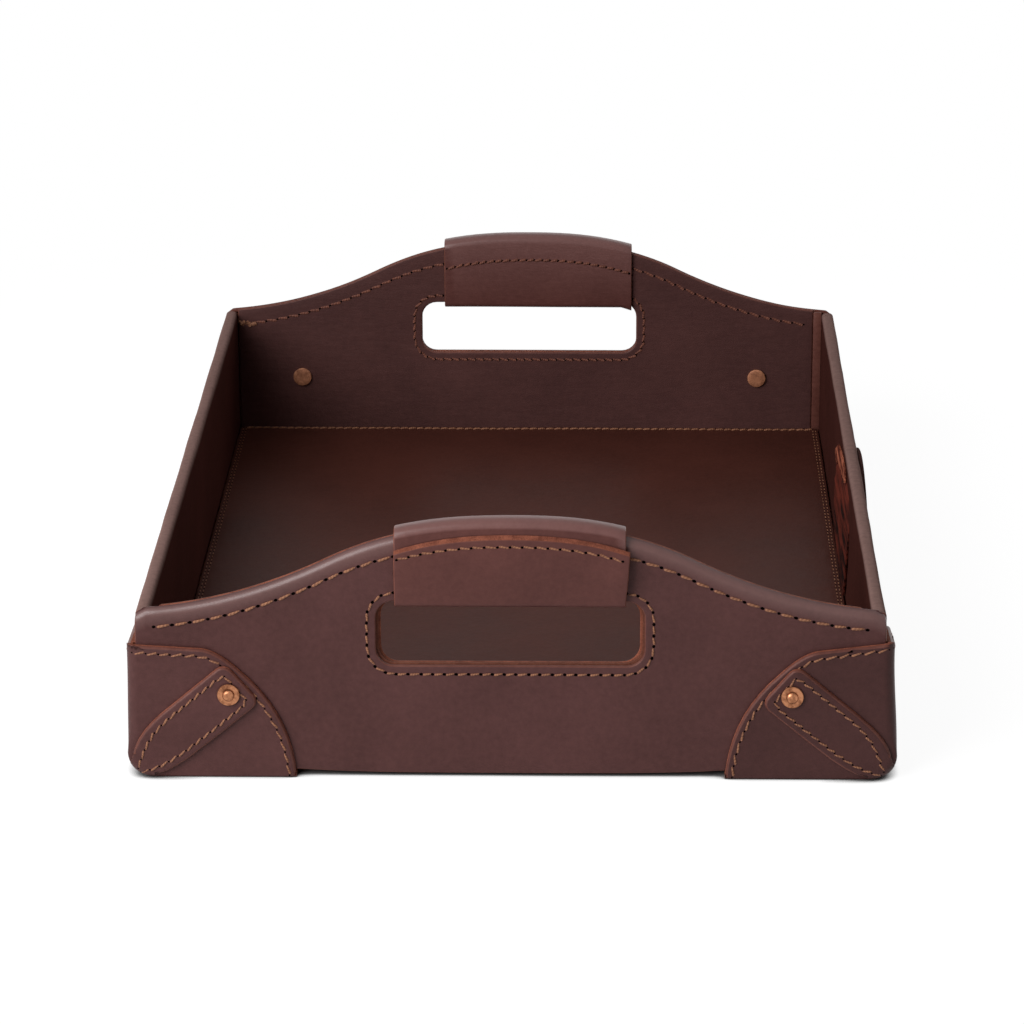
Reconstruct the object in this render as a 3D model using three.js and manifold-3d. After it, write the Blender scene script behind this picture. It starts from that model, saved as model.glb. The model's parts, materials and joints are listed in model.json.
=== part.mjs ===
// A leather serving tray: leather over thin stiffening boards, with two arched end walls that carry
// wrapped hand grips, two low folded side walls, and four moulded corner guards held by copper rivets.
// Millimetres, +Z up. X runs across the tray and Y along it. The origin is on the table, under the middle.
import * as THREE from "three";
import { mergeVertices } from "three/addons/utils/BufferGeometryUtils.js";
import Module from "manifold-3d";

const wasm = await Module();
wasm.setup();

// Overall sizes, over the outer faces of the walls
const TRAY_LENGTH = 502;
const TRAY_WIDTH = 352;
const SIDE_WALL_HEIGHT = 82;
const END_CORNER_HEIGHT = 83.3;

// Ogee top of the end walls: a crown, flattest in the middle, that turns into a hollow sweep at the shoulder
const CROWN_HEIGHT = 124.9;
const CROWN_POWER = 2.5;
const SHOULDER_HEIGHT = 107.8;
const SHOULDER_FROM_MIDDLE = 86;

// Sheet stock, and the clearance of a glue line or a loose fit
const LEATHER = 2.2;
const BOARD = 1.6;
const BASE_BOARD = 4.7;
const FIT = 0.3;

// Rounded edges of the walls and the base
const BASE_EDGE_RADIUS = 9;
const TOP_CORNER_RADIUS = 5;
const TUCK_UNDER_BASE = 24;
const SIDE_WALL_FLANGE = 4.5;
const FLOOR_MARGIN = 0.8;
const FLOOR_CORNER_RADIUS = 4;

// Hand slot in each end wall
const SLOT_WIDTH = 124;
const SLOT_BOTTOM = 56.4;
const SLOT_TOP = 88.2;
const SLOT_CORNER_RADIUS = 8.5;

// Leather wrap of the grip, lapped on the outside, over a filler strip; the rear one sits right of the middle
const GRIP_LENGTH = 108;
const REAR_GRIP_SHIFT = 5.2;
const GRIP_PAD = 1.4;
const GRIP_EDGE_RADIUS = 2.4;
const GRIP_FOLD_RADIUS = 0.8;
const GRIP_LAP = 11;
const GRIP_LAP_STEP = 5;
const GRIP_SEAM_DROP = 3;

// Corner guard: its bulge off the side wall, its height at the corner, its reach along the base, and the
// turn of its free edge
const GUARD_LEATHER = 2.4;
const GUARD_STANDOFF = 0.6;
const GUARD_SIDE_BULGE = 1.2;
const GUARD_HEIGHT = 66.5;
const GUARD_REACH = 79;
const GUARD_SHOULDER_REACH = 42.5;
const GUARD_SHOULDER_HEIGHT = 64.2;
const GUARD_SHOULDER_ROUND = 8;
const GUARD_SWEEP_REACH = 77;
const GUARD_SWEEP_HEIGHT = 32;
const GUARD_LIP = 16;
const GUARD_FOLD_RADIUS = 1.6;

// Strap over the lower corner
const STRAP_LEATHER = 2.2;
const STRAP_WIDTH = 25.6;
const STRAP_ANGLE = 40;
const STRAP_PAST_RIVET = 8.5;
const STRAP_TIP_RADIUS = 5;
const STRAP_WRAP = 10;

// Copper rivets and burrs
const RIVET_FROM_CORNER = 48;
const RIVET_HEIGHT = 43.2;
const RIVET_SHANK = 3.6;
const RIVET_HEAD = 10.6;
const RIVET_HEAD_THICKNESS = 1.4;
const PEENED_END = 5.6;
const PEENED_END_HEIGHT = 1.5;
const BURR_DIAMETER = 10.7;
const BURR_THICKNESS = 1.2;

// Layered patch near the middle of the right wall
const PATCH_LENGTH = 120;
const PATCH_HEIGHT = 66.4;
const PATCH_CROWN = 16;
const PATCH_FORWARD = 12;
const PATCH_OUTER_LEATHER = 2;
const PATCH_INNER_LEATHER = 1;
const PATCH_FACING_INSET = 4;
const PATCH_CORNER_RADIUS = 5;

// Facets
const QUARTER_STEPS = 5;
const ARC_STEPS = 3;
const CURVE_STEPS = 8;
const ROLL_STEPS = 4;
const TOP_STEPS = 30;
const GRIP_STEPS = 12;
const ROUND_STEPS = 16;

// Room that a cutting block keeps beyond what it cuts
const CUT_MARGIN = 20;

// Worked out from the sizes above
const HALF_LENGTH = TRAY_LENGTH / 2;
const HALF_WIDTH = TRAY_WIDTH / 2;
const WALL = 2 * LEATHER + BOARD + 2 * FIT;
const ROLL_RADIUS = LEATHER + FIT + BOARD;
const UNDERSIDE = GUARD_LEATHER + GUARD_STANDOFF;
const BASE_BOARD_BOTTOM = UNDERSIDE + LEATHER + FIT;
const FLOOR_BOTTOM = BASE_BOARD_BOTTOM + BASE_BOARD + FIT;
const INNER_HALF_LENGTH = HALF_LENGTH - WALL;
const INNER_HALF_WIDTH = HALF_WIDTH - WALL;
const LINING_DEPTH = ROLL_RADIUS + FIT;
const SIDE_HALF_LENGTH = HALF_LENGTH - LINING_DEPTH;
const LINING_HALF_WIDTH = INNER_HALF_WIDTH - SIDE_WALL_FLANGE - FIT;
const GUARD_OUTSIDE = GUARD_STANDOFF + GUARD_LEATHER;
const GUARD_LEFT = HALF_WIDTH + GUARD_OUTSIDE + GUARD_SIDE_BULGE;
const STRAP_INSIDE = GUARD_OUTSIDE + FIT;
const STRAP_OUTSIDE = STRAP_INSIDE + STRAP_LEATHER;
const RIVET_HOLE = RIVET_SHANK + 2 * FIT;
const RIVET_FROM_MIDDLE = GUARD_LEFT - RIVET_FROM_CORNER;

const CROWN_DROP = CROWN_HEIGHT - SHOULDER_HEIGHT;
const SHOULDER_FALL = (CROWN_POWER * CROWN_DROP) / SHOULDER_FROM_MIDDLE;
const SWEEP_RUN = HALF_WIDTH - SHOULDER_FROM_MIDDLE;
const SWEEP_DROP = SHOULDER_HEIGHT - END_CORNER_HEIGHT;
const SWEEP_BEND = (SHOULDER_FALL * SWEEP_RUN - SWEEP_DROP) / SWEEP_RUN ** 2;

const X_AXIS = new THREE.Vector3(1, 0, 0);
const Y_AXIS = new THREE.Vector3(0, 1, 0);
const Z_AXIS = new THREE.Vector3(0, 0, 1);
const QUARTER = Math.PI / 2;

// Finishes
const COFFEE_LEATHER = { color: 0x4b2b21, roughness: 0.5, metalness: 0 };
const LINING_LEATHER = { color: 0x472a22, roughness: 0.55, metalness: 0 };
const GRIP_LEATHER = { color: 0x51302a, roughness: 0.45, metalness: 0 };
const RAW_LEATHER = { color: 0x7a3520, roughness: 0.8, metalness: 0 };
const STIFF_BOARD = { color: 0x5c3a2d, roughness: 0.9, metalness: 0 };
const COPPER = { color: 0xb9785a, roughness: 0.35, metalness: 1 };

function piece(name, geometry, finish) {
  const mesh = new THREE.Mesh(geometry, new THREE.MeshStandardMaterial(finish));
  mesh.name = name;
  return mesh;
}

// Solids for cutting and joining

function toSolid(geometry) {
  const bare = geometry.clone();
  bare.deleteAttribute("normal");
  bare.deleteAttribute("uv");
  const merged = mergeVertices(bare, 1e-4);
  const vertProperties = new Float32Array(merged.attributes.position.array);
  const triVerts = new Uint32Array(merged.index.array);
  return new wasm.Manifold(new wasm.Mesh({ numProp: 3, vertProperties, triVerts }));
}

function toGeometry(solid) {
  const { vertProperties, triVerts } = solid.getMesh();
  const geometry = new THREE.BufferGeometry();
  geometry.setAttribute("position", new THREE.BufferAttribute(vertProperties, 3));
  geometry.setIndex(new THREE.BufferAttribute(triVerts, 1));
  geometry.computeVertexNormals();
  return geometry;
}

function without(geometry, cutters) {
  const left = cutters.reduce((solid, cutter) => solid.subtract(toSolid(cutter)), toSolid(geometry));
  return toGeometry(left);
}

function mirroredAcross(geometry) {
  const mirrored = geometry.clone().scale(-1, 1, 1);
  const order = mirrored.index.array;
  for (let corner = 0; corner < order.length; corner += 3) {
    const first = order[corner];
    order[corner] = order[corner + 1];
    order[corner + 1] = first;
  }
  return mirrored;
}

// A solid through rings of equally many points, closed by the section itself at both ends
function loft(rings, section) {
  const count = section.length;
  const clockwise = THREE.ShapeUtils.isClockWise(section);
  const outline = clockwise ? section.toReversed() : section;
  const ordered = clockwise ? rings.map((ring) => ring.toReversed()) : rings;
  const positions = ordered.flat().flatMap((point) => point.toArray());
  const faces = [];
  for (let ring = 0; ring + 1 < rings.length; ring += 1) {
    for (let point = 0; point < count; point += 1) {
      const here = ring * count + point;
      const next = ring * count + ((point + 1) % count);
      faces.push(here, next, next + count, here, next + count, here + count);
    }
  }
  const last = (rings.length - 1) * count;
  for (const [a, b, c] of THREE.ShapeUtils.triangulateShape(outline, [])) {
    faces.push(c, b, a, last + a, last + b, last + c);
  }
  const geometry = new THREE.BufferGeometry();
  geometry.setAttribute("position", new THREE.Float32BufferAttribute(positions, 3));
  geometry.setIndex(faces);
  geometry.computeVertexNormals();
  return geometry;
}

// Flat drawings given a thickness

function slab(shape, thickness, curveSegments = ARC_STEPS) {
  return new THREE.ExtrudeGeometry(shape, { depth: thickness, bevelEnabled: false, curveSegments });
}

// Stands a drawing up across the tray; its thickness runs from `y` towards the front
function standAcross(geometry, y) {
  const turn = new THREE.Matrix4().makeBasis(X_AXIS, Z_AXIS, Y_AXIS.clone().negate());
  return geometry.applyMatrix4(turn).translate(0, y, 0);
}

// Stands a drawing up along the tray; its thickness runs from `x` towards the right
function standAlong(geometry, x) {
  const turn = new THREE.Matrix4().makeBasis(Y_AXIS, Z_AXIS, X_AXIS);
  return geometry.applyMatrix4(turn).translate(x, 0, 0);
}

function roundedRectangle(left, bottom, right, top, radius, Kind = THREE.Shape) {
  const outline = new Kind();
  outline.moveTo(left + radius, bottom);
  outline.absarc(right - radius, bottom + radius, radius, -QUARTER, 0, false);
  outline.absarc(right - radius, top - radius, radius, 0, QUARTER, false);
  outline.absarc(left + radius, top - radius, radius, QUARTER, 2 * QUARTER, false);
  outline.absarc(left + radius, bottom + radius, radius, 2 * QUARTER, 3 * QUARTER, false);
  outline.closePath();
  return outline;
}

function circle(x, z, diameter, Kind = THREE.Shape) {
  const outline = new Kind();
  outline.absarc(x, z, diameter / 2, 0, 2 * QUARTER, false);
  outline.absarc(x, z, diameter / 2, 2 * QUARTER, 4 * QUARTER, false);
  return outline;
}

// Points of a quarter circle, clockwise from the angle `from`
function quarterTurn(centreX, centreZ, radius, from) {
  const points = [];
  for (let step = 0; step <= QUARTER_STEPS; step += 1) {
    const turn = from - (QUARTER * step) / QUARTER_STEPS;
    points.push(new THREE.Vector2(centreX + radius * Math.cos(turn), centreZ + radius * Math.sin(turn)));
  }
  return points;
}

// End walls

// A power curve over the crown, and from the shoulder a parabola that leaves it at the same slope
function archHeight(x) {
  const run = Math.abs(x);
  if (run <= SHOULDER_FROM_MIDDLE) {
    return CROWN_HEIGHT - CROWN_DROP * (run / SHOULDER_FROM_MIDDLE) ** CROWN_POWER;
  }
  const past = run - SHOULDER_FROM_MIDDLE;
  return SHOULDER_HEIGHT - SHOULDER_FALL * past + SWEEP_BEND * past ** 2;
}

// How far a rounded corner of the given radius cuts into the wall's edge at `x`
function cornerCut(x, radius) {
  const into = Math.abs(x) - (HALF_WIDTH - radius);
  return into > 0 ? radius - Math.sqrt(Math.max(radius ** 2 - into ** 2, 0)) : 0;
}

function endTop(x) {
  return archHeight(x) - cornerCut(x, TOP_CORNER_RADIUS);
}

function endBottom(x) {
  return UNDERSIDE + cornerCut(x, BASE_EDGE_RADIUS);
}

// Places along X where the end wall's outline is drawn, closer together in the rounded corners
function endStations() {
  const corner = [];
  for (let step = 0; step < QUARTER_STEPS; step += 1) {
    const turn = (QUARTER * step) / QUARTER_STEPS;
    corner.push(HALF_WIDTH - BASE_EDGE_RADIUS * (1 - Math.cos(turn)));
  }
  const reach = HALF_WIDTH - BASE_EDGE_RADIUS;
  const middle = [];
  for (let step = 0; step <= TOP_STEPS; step += 1) {
    middle.push(reach * ((2 * step) / TOP_STEPS - 1));
  }
  return [...corner.map((x) => -x), ...middle, ...corner.toReversed()];
}

function slotOutline(Kind) {
  const half = SLOT_WIDTH / 2;
  return roundedRectangle(-half, SLOT_BOTTOM, half, SLOT_TOP, SLOT_CORNER_RADIUS, Kind);
}

function rivetHoles(Kind) {
  return [-1, 1].map((side) => circle(side * RIVET_FROM_MIDDLE, RIVET_HEIGHT, RIVET_HOLE, Kind));
}

// A flat layer of the front wall, `depth` behind the outer face, with the slot and the rivet holes
function endLayer(outline, depth, thickness) {
  const shape = new THREE.Shape(outline);
  shape.holes.push(slotOutline(THREE.Path), ...rivetHoles(THREE.Path));
  return standAcross(slab(shape, thickness), depth + thickness - HALF_LENGTH);
}

// The board fills the wall under the roll of the skin
function endBoard() {
  const bottom = endStations().map((x) => new THREE.Vector2(x, endBottom(x)));
  const top = endStations().map((x) => new THREE.Vector2(x, endTop(x) - ROLL_RADIUS));
  return endLayer([...bottom, ...top.toReversed()], LEATHER + FIT, BOARD);
}

// The lining stands on the base between the flanges of the side walls, its raw top level with the roll
function endLining() {
  const stations = endStations().filter((x) => Math.abs(x) < LINING_HALF_WIDTH);
  const across = [-LINING_HALF_WIDTH, ...stations, LINING_HALF_WIDTH];
  const top = across.map((x) => new THREE.Vector2(x, endTop(x)));
  const foot = [-LINING_HALF_WIDTH, LINING_HALF_WIDTH].map((x) => new THREE.Vector2(x, BASE_BOARD_BOTTOM));
  return endLayer([...foot, ...top.toReversed()], LINING_DEPTH, LEATHER);
}

// Section of the outer leather: up the outer face, over the roll at the top, and back down behind
function skinSection(bottom, top) {
  const roll = (radius) => quarterTurn(ROLL_RADIUS, top - ROLL_RADIUS, radius, 2 * QUARTER);
  return [
    new THREE.Vector2(0, bottom),
    ...roll(ROLL_RADIUS),
    ...roll(ROLL_RADIUS - LEATHER).toReversed(),
    new THREE.Vector2(LEATHER, bottom),
  ];
}

function endSkin() {
  const sections = endStations().map((x) => skinSection(endBottom(x), endTop(x)));
  const rings = endStations().map((x, station) =>
    sections[station].map((point) => new THREE.Vector3(x, point.x - HALF_LENGTH, point.y)),
  );
  const cutters = [slotOutline(THREE.Shape), ...rivetHoles(THREE.Shape)];
  const blocks = cutters.map((outline) => slab(outline, 2 * CUT_MARGIN));
  const cuts = blocks.map((block) => standAcross(block, CUT_MARGIN - HALF_LENGTH));
  return without(loft(rings, sections[0]), cuts);
}

// Grips

// A path of points thickened to one side: along the path, and back along its offset
function thickened(path, thickness) {
  const offset = path.map((point, index) => {
    const before = path[Math.max(index - 1, 0)];
    const after = path[Math.min(index + 1, path.length - 1)];
    const along = after.clone().sub(before).normalize();
    return new THREE.Vector2(point.x - along.y * thickness, point.y + along.x * thickness);
  });
  return [...path, ...offset.toReversed()];
}

// Height of the slot's upper edge, which comes down at the slot's round corners
function slotTop(x) {
  const past = Math.max(0, Math.abs(x) - SLOT_WIDTH / 2 + SLOT_CORNER_RADIUS);
  const above = Math.sqrt(Math.max(0, SLOT_CORNER_RADIUS ** 2 - past ** 2));
  return SLOT_TOP - SLOT_CORNER_RADIUS + above;
}

// Section of the wrap: from under the lap up and over the bar, down inside, under it, and up over the lap,
// which leans out from the lower fold to clear the hidden end
function gripSection(x) {
  const top = archHeight(x);
  const outer = -FIT;
  const inner = WALL + FIT;
  const bottom = slotTop(x) - FIT;
  const crown = top + GRIP_PAD + 2 * FIT;
  const seam = top - GRIP_SEAM_DROP;
  const lapEnd = seam - GRIP_LAP;
  const lapFace = outer - LEATHER - FIT;
  const round = GRIP_EDGE_RADIUS;
  const fold = GRIP_FOLD_RADIUS;
  const path = [
    new THREE.Vector2(outer, lapEnd),
    ...quarterTurn(outer + round, crown - round, round, 2 * QUARTER),
    ...quarterTurn(inner - round, crown - round, round, QUARTER),
    ...quarterTurn(inner - fold, bottom + fold, fold, 0),
    ...quarterTurn(outer + fold, bottom + fold, fold, -QUARTER),
    new THREE.Vector2(lapFace, lapEnd - GRIP_LAP_STEP),
    new THREE.Vector2(lapFace, seam),
  ];
  return thickened(path, LEATHER);
}

// Places along a grip whose middle is at `middle`
function gripStations(middle) {
  const stations = [];
  for (let step = 0; step <= GRIP_STEPS; step += 1) {
    stations.push(middle + GRIP_LENGTH * (step / GRIP_STEPS - 0.5));
  }
  return stations;
}

function grip(middle) {
  const sections = gripStations(middle).map(gripSection);
  const rings = gripStations(middle).map((x, station) =>
    sections[station].map((point) => new THREE.Vector3(x, point.x - HALF_LENGTH, point.y)),
  );
  return loft(rings, sections[0]);
}

// Filler strip with a crowned top, along the top of the bar
function gripPad(middle) {
  const crown = (x) => {
    const foot = archHeight(x) + FIT;
    const round = Math.min(GRIP_PAD, GRIP_EDGE_RADIUS);
    return [
      new THREE.Vector2(round, foot),
      ...quarterTurn(round + FIT, foot + GRIP_PAD - round + FIT, round - FIT, 2 * QUARTER),
      ...quarterTurn(WALL - round - FIT, foot + GRIP_PAD - round + FIT, round - FIT, QUARTER),
      new THREE.Vector2(WALL - round, foot),
    ];
  };
  const sections = gripStations(middle).map(crown);
  const rings = gripStations(middle).map((x, station) =>
    sections[station].map((point) => new THREE.Vector3(x, point.x - HALF_LENGTH, point.y)),
  );
  return loft(rings, sections[0]);
}

// Corner guards and straps

// A block with the outside form of the tray's front left corner, grown by `offset`
function cornerBlock(offset) {
  const fold = GUARD_FOLD_RADIUS + offset - GUARD_STANDOFF;
  const round = BASE_EDGE_RADIUS + offset;
  const left = -HALF_WIDTH - GUARD_SIDE_BULGE - offset;
  const bottom = UNDERSIDE - offset;
  const right = left + GUARD_REACH + 2 * CUT_MARGIN;
  const top = bottom + GUARD_HEIGHT + 2 * CUT_MARGIN;
  const depth = GUARD_REACH + CUT_MARGIN;
  const shape = new THREE.Shape();
  shape.moveTo(right, bottom);
  shape.lineTo(right, top);
  shape.lineTo(left, top);
  shape.absarc(left + round, bottom + round, round, 2 * QUARTER, 3 * QUARTER, false);
  shape.closePath();
  const block = new THREE.ExtrudeGeometry(shape, {
    depth,
    bevelSize: fold,
    bevelOffset: -fold,
    bevelThickness: fold,
    bevelSegments: ROLL_STEPS,
    curveSegments: ARC_STEPS,
  });
  return toSolid(standAcross(block, depth + fold - HALF_LENGTH - offset));
}

// Outline of a guard's flap: its free edge drops from the corner over a shoulder and sweeps to the base
function guardOutline() {
  const flat = (GUARD_HEIGHT - GUARD_SHOULDER_HEIGHT) / GUARD_SHOULDER_REACH;
  const entry = GUARD_SHOULDER_REACH - GUARD_SHOULDER_ROUND;
  const fall = GUARD_SHOULDER_ROUND * Math.SQRT1_2;
  const exit = new THREE.Vector2(GUARD_SHOULDER_REACH + 2 * fall, GUARD_SHOULDER_HEIGHT - 2 * fall);
  const shape = new THREE.Shape();
  shape.moveTo(-CUT_MARGIN, -CUT_MARGIN);
  shape.lineTo(GUARD_REACH, -CUT_MARGIN);
  shape.lineTo(GUARD_REACH, 0);
  shape.quadraticCurveTo(GUARD_SWEEP_REACH, GUARD_SWEEP_HEIGHT, exit.x, exit.y);
  shape.quadraticCurveTo(
    GUARD_SHOULDER_REACH,
    GUARD_SHOULDER_HEIGHT,
    entry,
    GUARD_SHOULDER_HEIGHT + GUARD_SHOULDER_ROUND * flat,
  );
  shape.lineTo(0, GUARD_HEIGHT);
  shape.lineTo(-CUT_MARGIN, GUARD_HEIGHT);
  shape.closePath();
  return shape;
}

function rivetDrill() {
  const drill = slab(circle(-RIVET_FROM_MIDDLE, RIVET_HEIGHT, RIVET_HOLE), 2 * CUT_MARGIN);
  return toSolid(standAcross(drill, CUT_MARGIN - HALF_LENGTH));
}

// The guard's outline on the end wall and on the side wall, reaching `inward` behind their outer faces
function guardFlaps(inward) {
  const thickness = inward + GUARD_OUTSIDE + CUT_MARGIN;
  const endFlap = standAcross(slab(guardOutline(), thickness, CURVE_STEPS), inward - HALF_LENGTH);
  endFlap.translate(-GUARD_LEFT, 0, 0);
  const sideDrawing = slab(guardOutline(), thickness, CURVE_STEPS);
  const sideFlap = standAlong(sideDrawing, inward - HALF_WIDTH - thickness);
  sideFlap.translate(0, -HALF_LENGTH - GUARD_OUTSIDE, 0);
  return toSolid(endFlap).add(toSolid(sideFlap));
}

// The corner's room between two heights, from the guard's outer faces to the middle of the tray
function cornerRoom(bottom, top) {
  const length = HALF_LENGTH + STRAP_OUTSIDE;
  const room = new THREE.BoxGeometry(GUARD_LEFT, length, top - bottom);
  return toSolid(room.translate(-GUARD_LEFT / 2, -length / 2, (bottom + top) / 2));
}

// Two flaps on the walls, and below the rounded edge of the base a lip turned under it
function cornerGuard() {
  const shell = cornerBlock(GUARD_OUTSIDE).subtract(cornerBlock(GUARD_STANDOFF));
  const lips = guardFlaps(GUARD_LIP).intersect(cornerRoom(0, UNDERSIDE + BASE_EDGE_RADIUS));
  const flaps = guardFlaps(0).add(lips);
  return toGeometry(shell.intersect(flaps).subtract(rivetDrill()));
}

// Outline of the strap, drawn along its own middle line from past the corner to its rounded tip
function strapOutline() {
  const half = STRAP_WIDTH / 2;
  const behind = RIVET_FROM_CORNER + 2 * CUT_MARGIN;
  return roundedRectangle(-behind, -half, STRAP_PAST_RIVET, half, STRAP_TIP_RADIUS);
}

function cornerStrap() {
  const shell = cornerBlock(STRAP_OUTSIDE).subtract(cornerBlock(STRAP_INSIDE));
  const thickness = STRAP_WRAP + STRAP_OUTSIDE + CUT_MARGIN;
  const tongue = slab(strapOutline(), thickness);
  tongue.rotateZ(THREE.MathUtils.degToRad(STRAP_ANGLE));
  tongue.translate(-RIVET_FROM_MIDDLE, RIVET_HEIGHT, 0);
  const tongueSolid = toSolid(standAcross(tongue, STRAP_WRAP - HALF_LENGTH));
  const room = cornerRoom(0, GUARD_HEIGHT);
  return toGeometry(shell.intersect(tongueSolid).intersect(room).subtract(rivetDrill()));
}

// Rivets: turned about the rivet's own axis, with the head inside the tray and the peened end outside

function turned(profile) {
  const points = profile.map(([radius, along]) => new THREE.Vector2(radius, along));
  const geometry = new THREE.LatheGeometry(points, ROUND_STEPS);
  geometry.rotateX(QUARTER * 2);
  return geometry.translate(0, -HALF_LENGTH, 0);
}

function rivet() {
  const headFace = -WALL - FIT;
  const burrFace = STRAP_OUTSIDE + 2 * FIT + BURR_THICKNESS;
  const profile = [
    [0, headFace - RIVET_HEAD_THICKNESS],
    [RIVET_HEAD / 2 - FIT, headFace - RIVET_HEAD_THICKNESS],
    [RIVET_HEAD / 2, headFace - RIVET_HEAD_THICKNESS + FIT],
    [RIVET_HEAD / 2, headFace],
    [RIVET_SHANK / 2, headFace],
    [RIVET_SHANK / 2, burrFace],
    [PEENED_END / 2, burrFace],
  ];
  for (let step = 1; step < ROLL_STEPS; step += 1) {
    const turn = (QUARTER * step) / ROLL_STEPS;
    profile.push([(PEENED_END / 2) * Math.cos(turn), burrFace + PEENED_END_HEIGHT * Math.sin(turn)]);
  }
  profile.push([0, burrFace + PEENED_END_HEIGHT]);
  return turned(profile);
}

function burr() {
  const seat = STRAP_OUTSIDE + FIT;
  const profile = [
    [RIVET_HOLE / 2, seat],
    [BURR_DIAMETER / 2, seat],
    [BURR_DIAMETER / 2, seat + BURR_THICKNESS - FIT],
    [BURR_DIAMETER / 2 - FIT, seat + BURR_THICKNESS],
    [RIVET_HOLE / 2, seat + BURR_THICKNESS],
    [RIVET_HOLE / 2, seat],
  ];
  return turned(profile);
}

// Side walls: one leather from inside the tray over the top fold, down outside and under the base

function sideWallSection() {
  const fold = WALL / 2;
  const foldHeight = SIDE_WALL_HEIGHT - fold;
  const edge = BASE_EDGE_RADIUS;
  const shape = new THREE.Shape();
  shape.moveTo(-INNER_HALF_WIDTH, FLOOR_BOTTOM);
  shape.absarc(-INNER_HALF_WIDTH - fold, foldHeight, fold, 0, 2 * QUARTER, false);
  shape.absarc(-HALF_WIDTH + edge, UNDERSIDE + edge, edge, 2 * QUARTER, 3 * QUARTER, false);
  shape.lineTo(-HALF_WIDTH + TUCK_UNDER_BASE, UNDERSIDE);
  shape.lineTo(-HALF_WIDTH + TUCK_UNDER_BASE, UNDERSIDE + LEATHER);
  shape.absarc(-HALF_WIDTH + edge, UNDERSIDE + edge, edge - LEATHER, 3 * QUARTER, 2 * QUARTER, true);
  shape.absarc(-INNER_HALF_WIDTH - fold, foldHeight, fold - LEATHER, 2 * QUARTER, 0, true);
  shape.lineTo(-INNER_HALF_WIDTH - LEATHER, FLOOR_BOTTOM);
  shape.closePath();
  return shape;
}

// The inner leather ends in a narrow flange at each end, turned onto the end wall beside its lining
function leftWall() {
  const wall = toSolid(standAcross(slab(sideWallSection(), 2 * SIDE_HALF_LENGTH), SIDE_HALF_LENGTH));
  const width = SIDE_WALL_FLANGE + LEATHER / 2;
  const height = SIDE_WALL_HEIGHT - WALL / 2 - FLOOR_BOTTOM;
  const flanges = [-1, 1].map((side) => {
    const flange = new THREE.BoxGeometry(width, LEATHER, height);
    return toSolid(
      flange.translate(
        -INNER_HALF_WIDTH + SIDE_WALL_FLANGE - width / 2,
        side * (SIDE_HALF_LENGTH - LEATHER / 2),
        FLOOR_BOTTOM + height / 2,
      ),
    );
  });
  return toGeometry(wall.add(flanges[0]).add(flanges[1]));
}

function leftBoard() {
  const height = SIDE_WALL_HEIGHT - WALL / 2 - UNDERSIDE - BASE_EDGE_RADIUS;
  const board = new THREE.BoxGeometry(BOARD, 2 * SIDE_HALF_LENGTH, height);
  return board.translate(
    -HALF_WIDTH + LEATHER + FIT + BOARD / 2,
    0,
    UNDERSIDE + BASE_EDGE_RADIUS + height / 2,
  );
}

// Patch in the right wall, drawn across the wall's length with an arched top

function patchOutline(inset) {
  const half = PATCH_LENGTH / 2 - inset;
  const top = PATCH_HEIGHT - inset;
  const round = PATCH_CORNER_RADIUS;
  const rise = top - PATCH_CROWN;
  const shape = new THREE.Shape();
  shape.moveTo(-half + round, 0);
  shape.absarc(half - round, round, round, -QUARTER, 0, false);
  shape.lineTo(half, rise);
  shape.quadraticCurveTo(0, top + PATCH_CROWN, -half, rise);
  shape.absarc(-half + round, round, round, 2 * QUARTER, 3 * QUARTER, false);
  shape.closePath();
  return shape;
}

function patch(x, thickness, inset) {
  const foot = FLOOR_BOTTOM + LEATHER + FIT;
  return standAlong(slab(patchOutline(inset), thickness, CURVE_STEPS), x).translate(0, -PATCH_FORWARD, foot);
}

// Base

function sheet(halfWidth, halfLength, bottom, thickness) {
  const geometry = new THREE.BoxGeometry(2 * halfWidth, 2 * halfLength, thickness);
  return geometry.translate(0, 0, bottom + thickness / 2);
}

// Under the base, from one side wall's tucked edge to the other's
function baseSkin() {
  return sheet(HALF_WIDTH - TUCK_UNDER_BASE - FIT, SIDE_HALF_LENGTH, UNDERSIDE, LEATHER);
}

// Between the rounded edges of the base and the linings of the end walls
function baseBoard() {
  return sheet(HALF_WIDTH - BASE_EDGE_RADIUS, INNER_HALF_LENGTH - FIT, BASE_BOARD_BOTTOM, BASE_BOARD);
}

function floorLining() {
  const halfWidth = INNER_HALF_WIDTH - FLOOR_MARGIN;
  const halfLength = INNER_HALF_LENGTH - FLOOR_MARGIN;
  const shape = roundedRectangle(-halfWidth, -halfLength, halfWidth, halfLength, FLOOR_CORNER_RADIUS);
  return slab(shape, LEATHER).translate(0, 0, FLOOR_BOTTOM);
}

// One end of the tray, drawn as the front; `left` and `right` are the names of its two corners
function end(name, left, right, gripMiddle) {
  const group = new THREE.Group();
  group.add(
    piece(`${name}_skin`, endSkin(), COFFEE_LEATHER),
    piece(`${name}_board`, endBoard(), STIFF_BOARD),
    piece(`${name}_lining`, endLining(), LINING_LEATHER),
    piece(`${name}_grip`, grip(gripMiddle), GRIP_LEATHER),
    piece(`${name}_grip_pad`, gripPad(gripMiddle), STIFF_BOARD),
  );
  const guard = cornerGuard();
  const strap = cornerStrap();
  group.add(
    piece(`corner_guard_${left}`, guard, COFFEE_LEATHER),
    piece(`corner_guard_${right}`, mirroredAcross(guard), COFFEE_LEATHER),
    piece(`corner_strap_${left}`, strap, COFFEE_LEATHER),
    piece(`corner_strap_${right}`, mirroredAcross(strap), COFFEE_LEATHER),
  );
  for (const [corner, side] of [[left, -1], [right, 1]]) {
    const fastener = new THREE.Group();
    fastener.position.set(side * RIVET_FROM_MIDDLE, 0, RIVET_HEIGHT);
    fastener.add(piece(`rivet_${corner}`, rivet(), COPPER), piece(`burr_${corner}`, burr(), COPPER));
    group.add(fastener);
  }
  return group;
}

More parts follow.
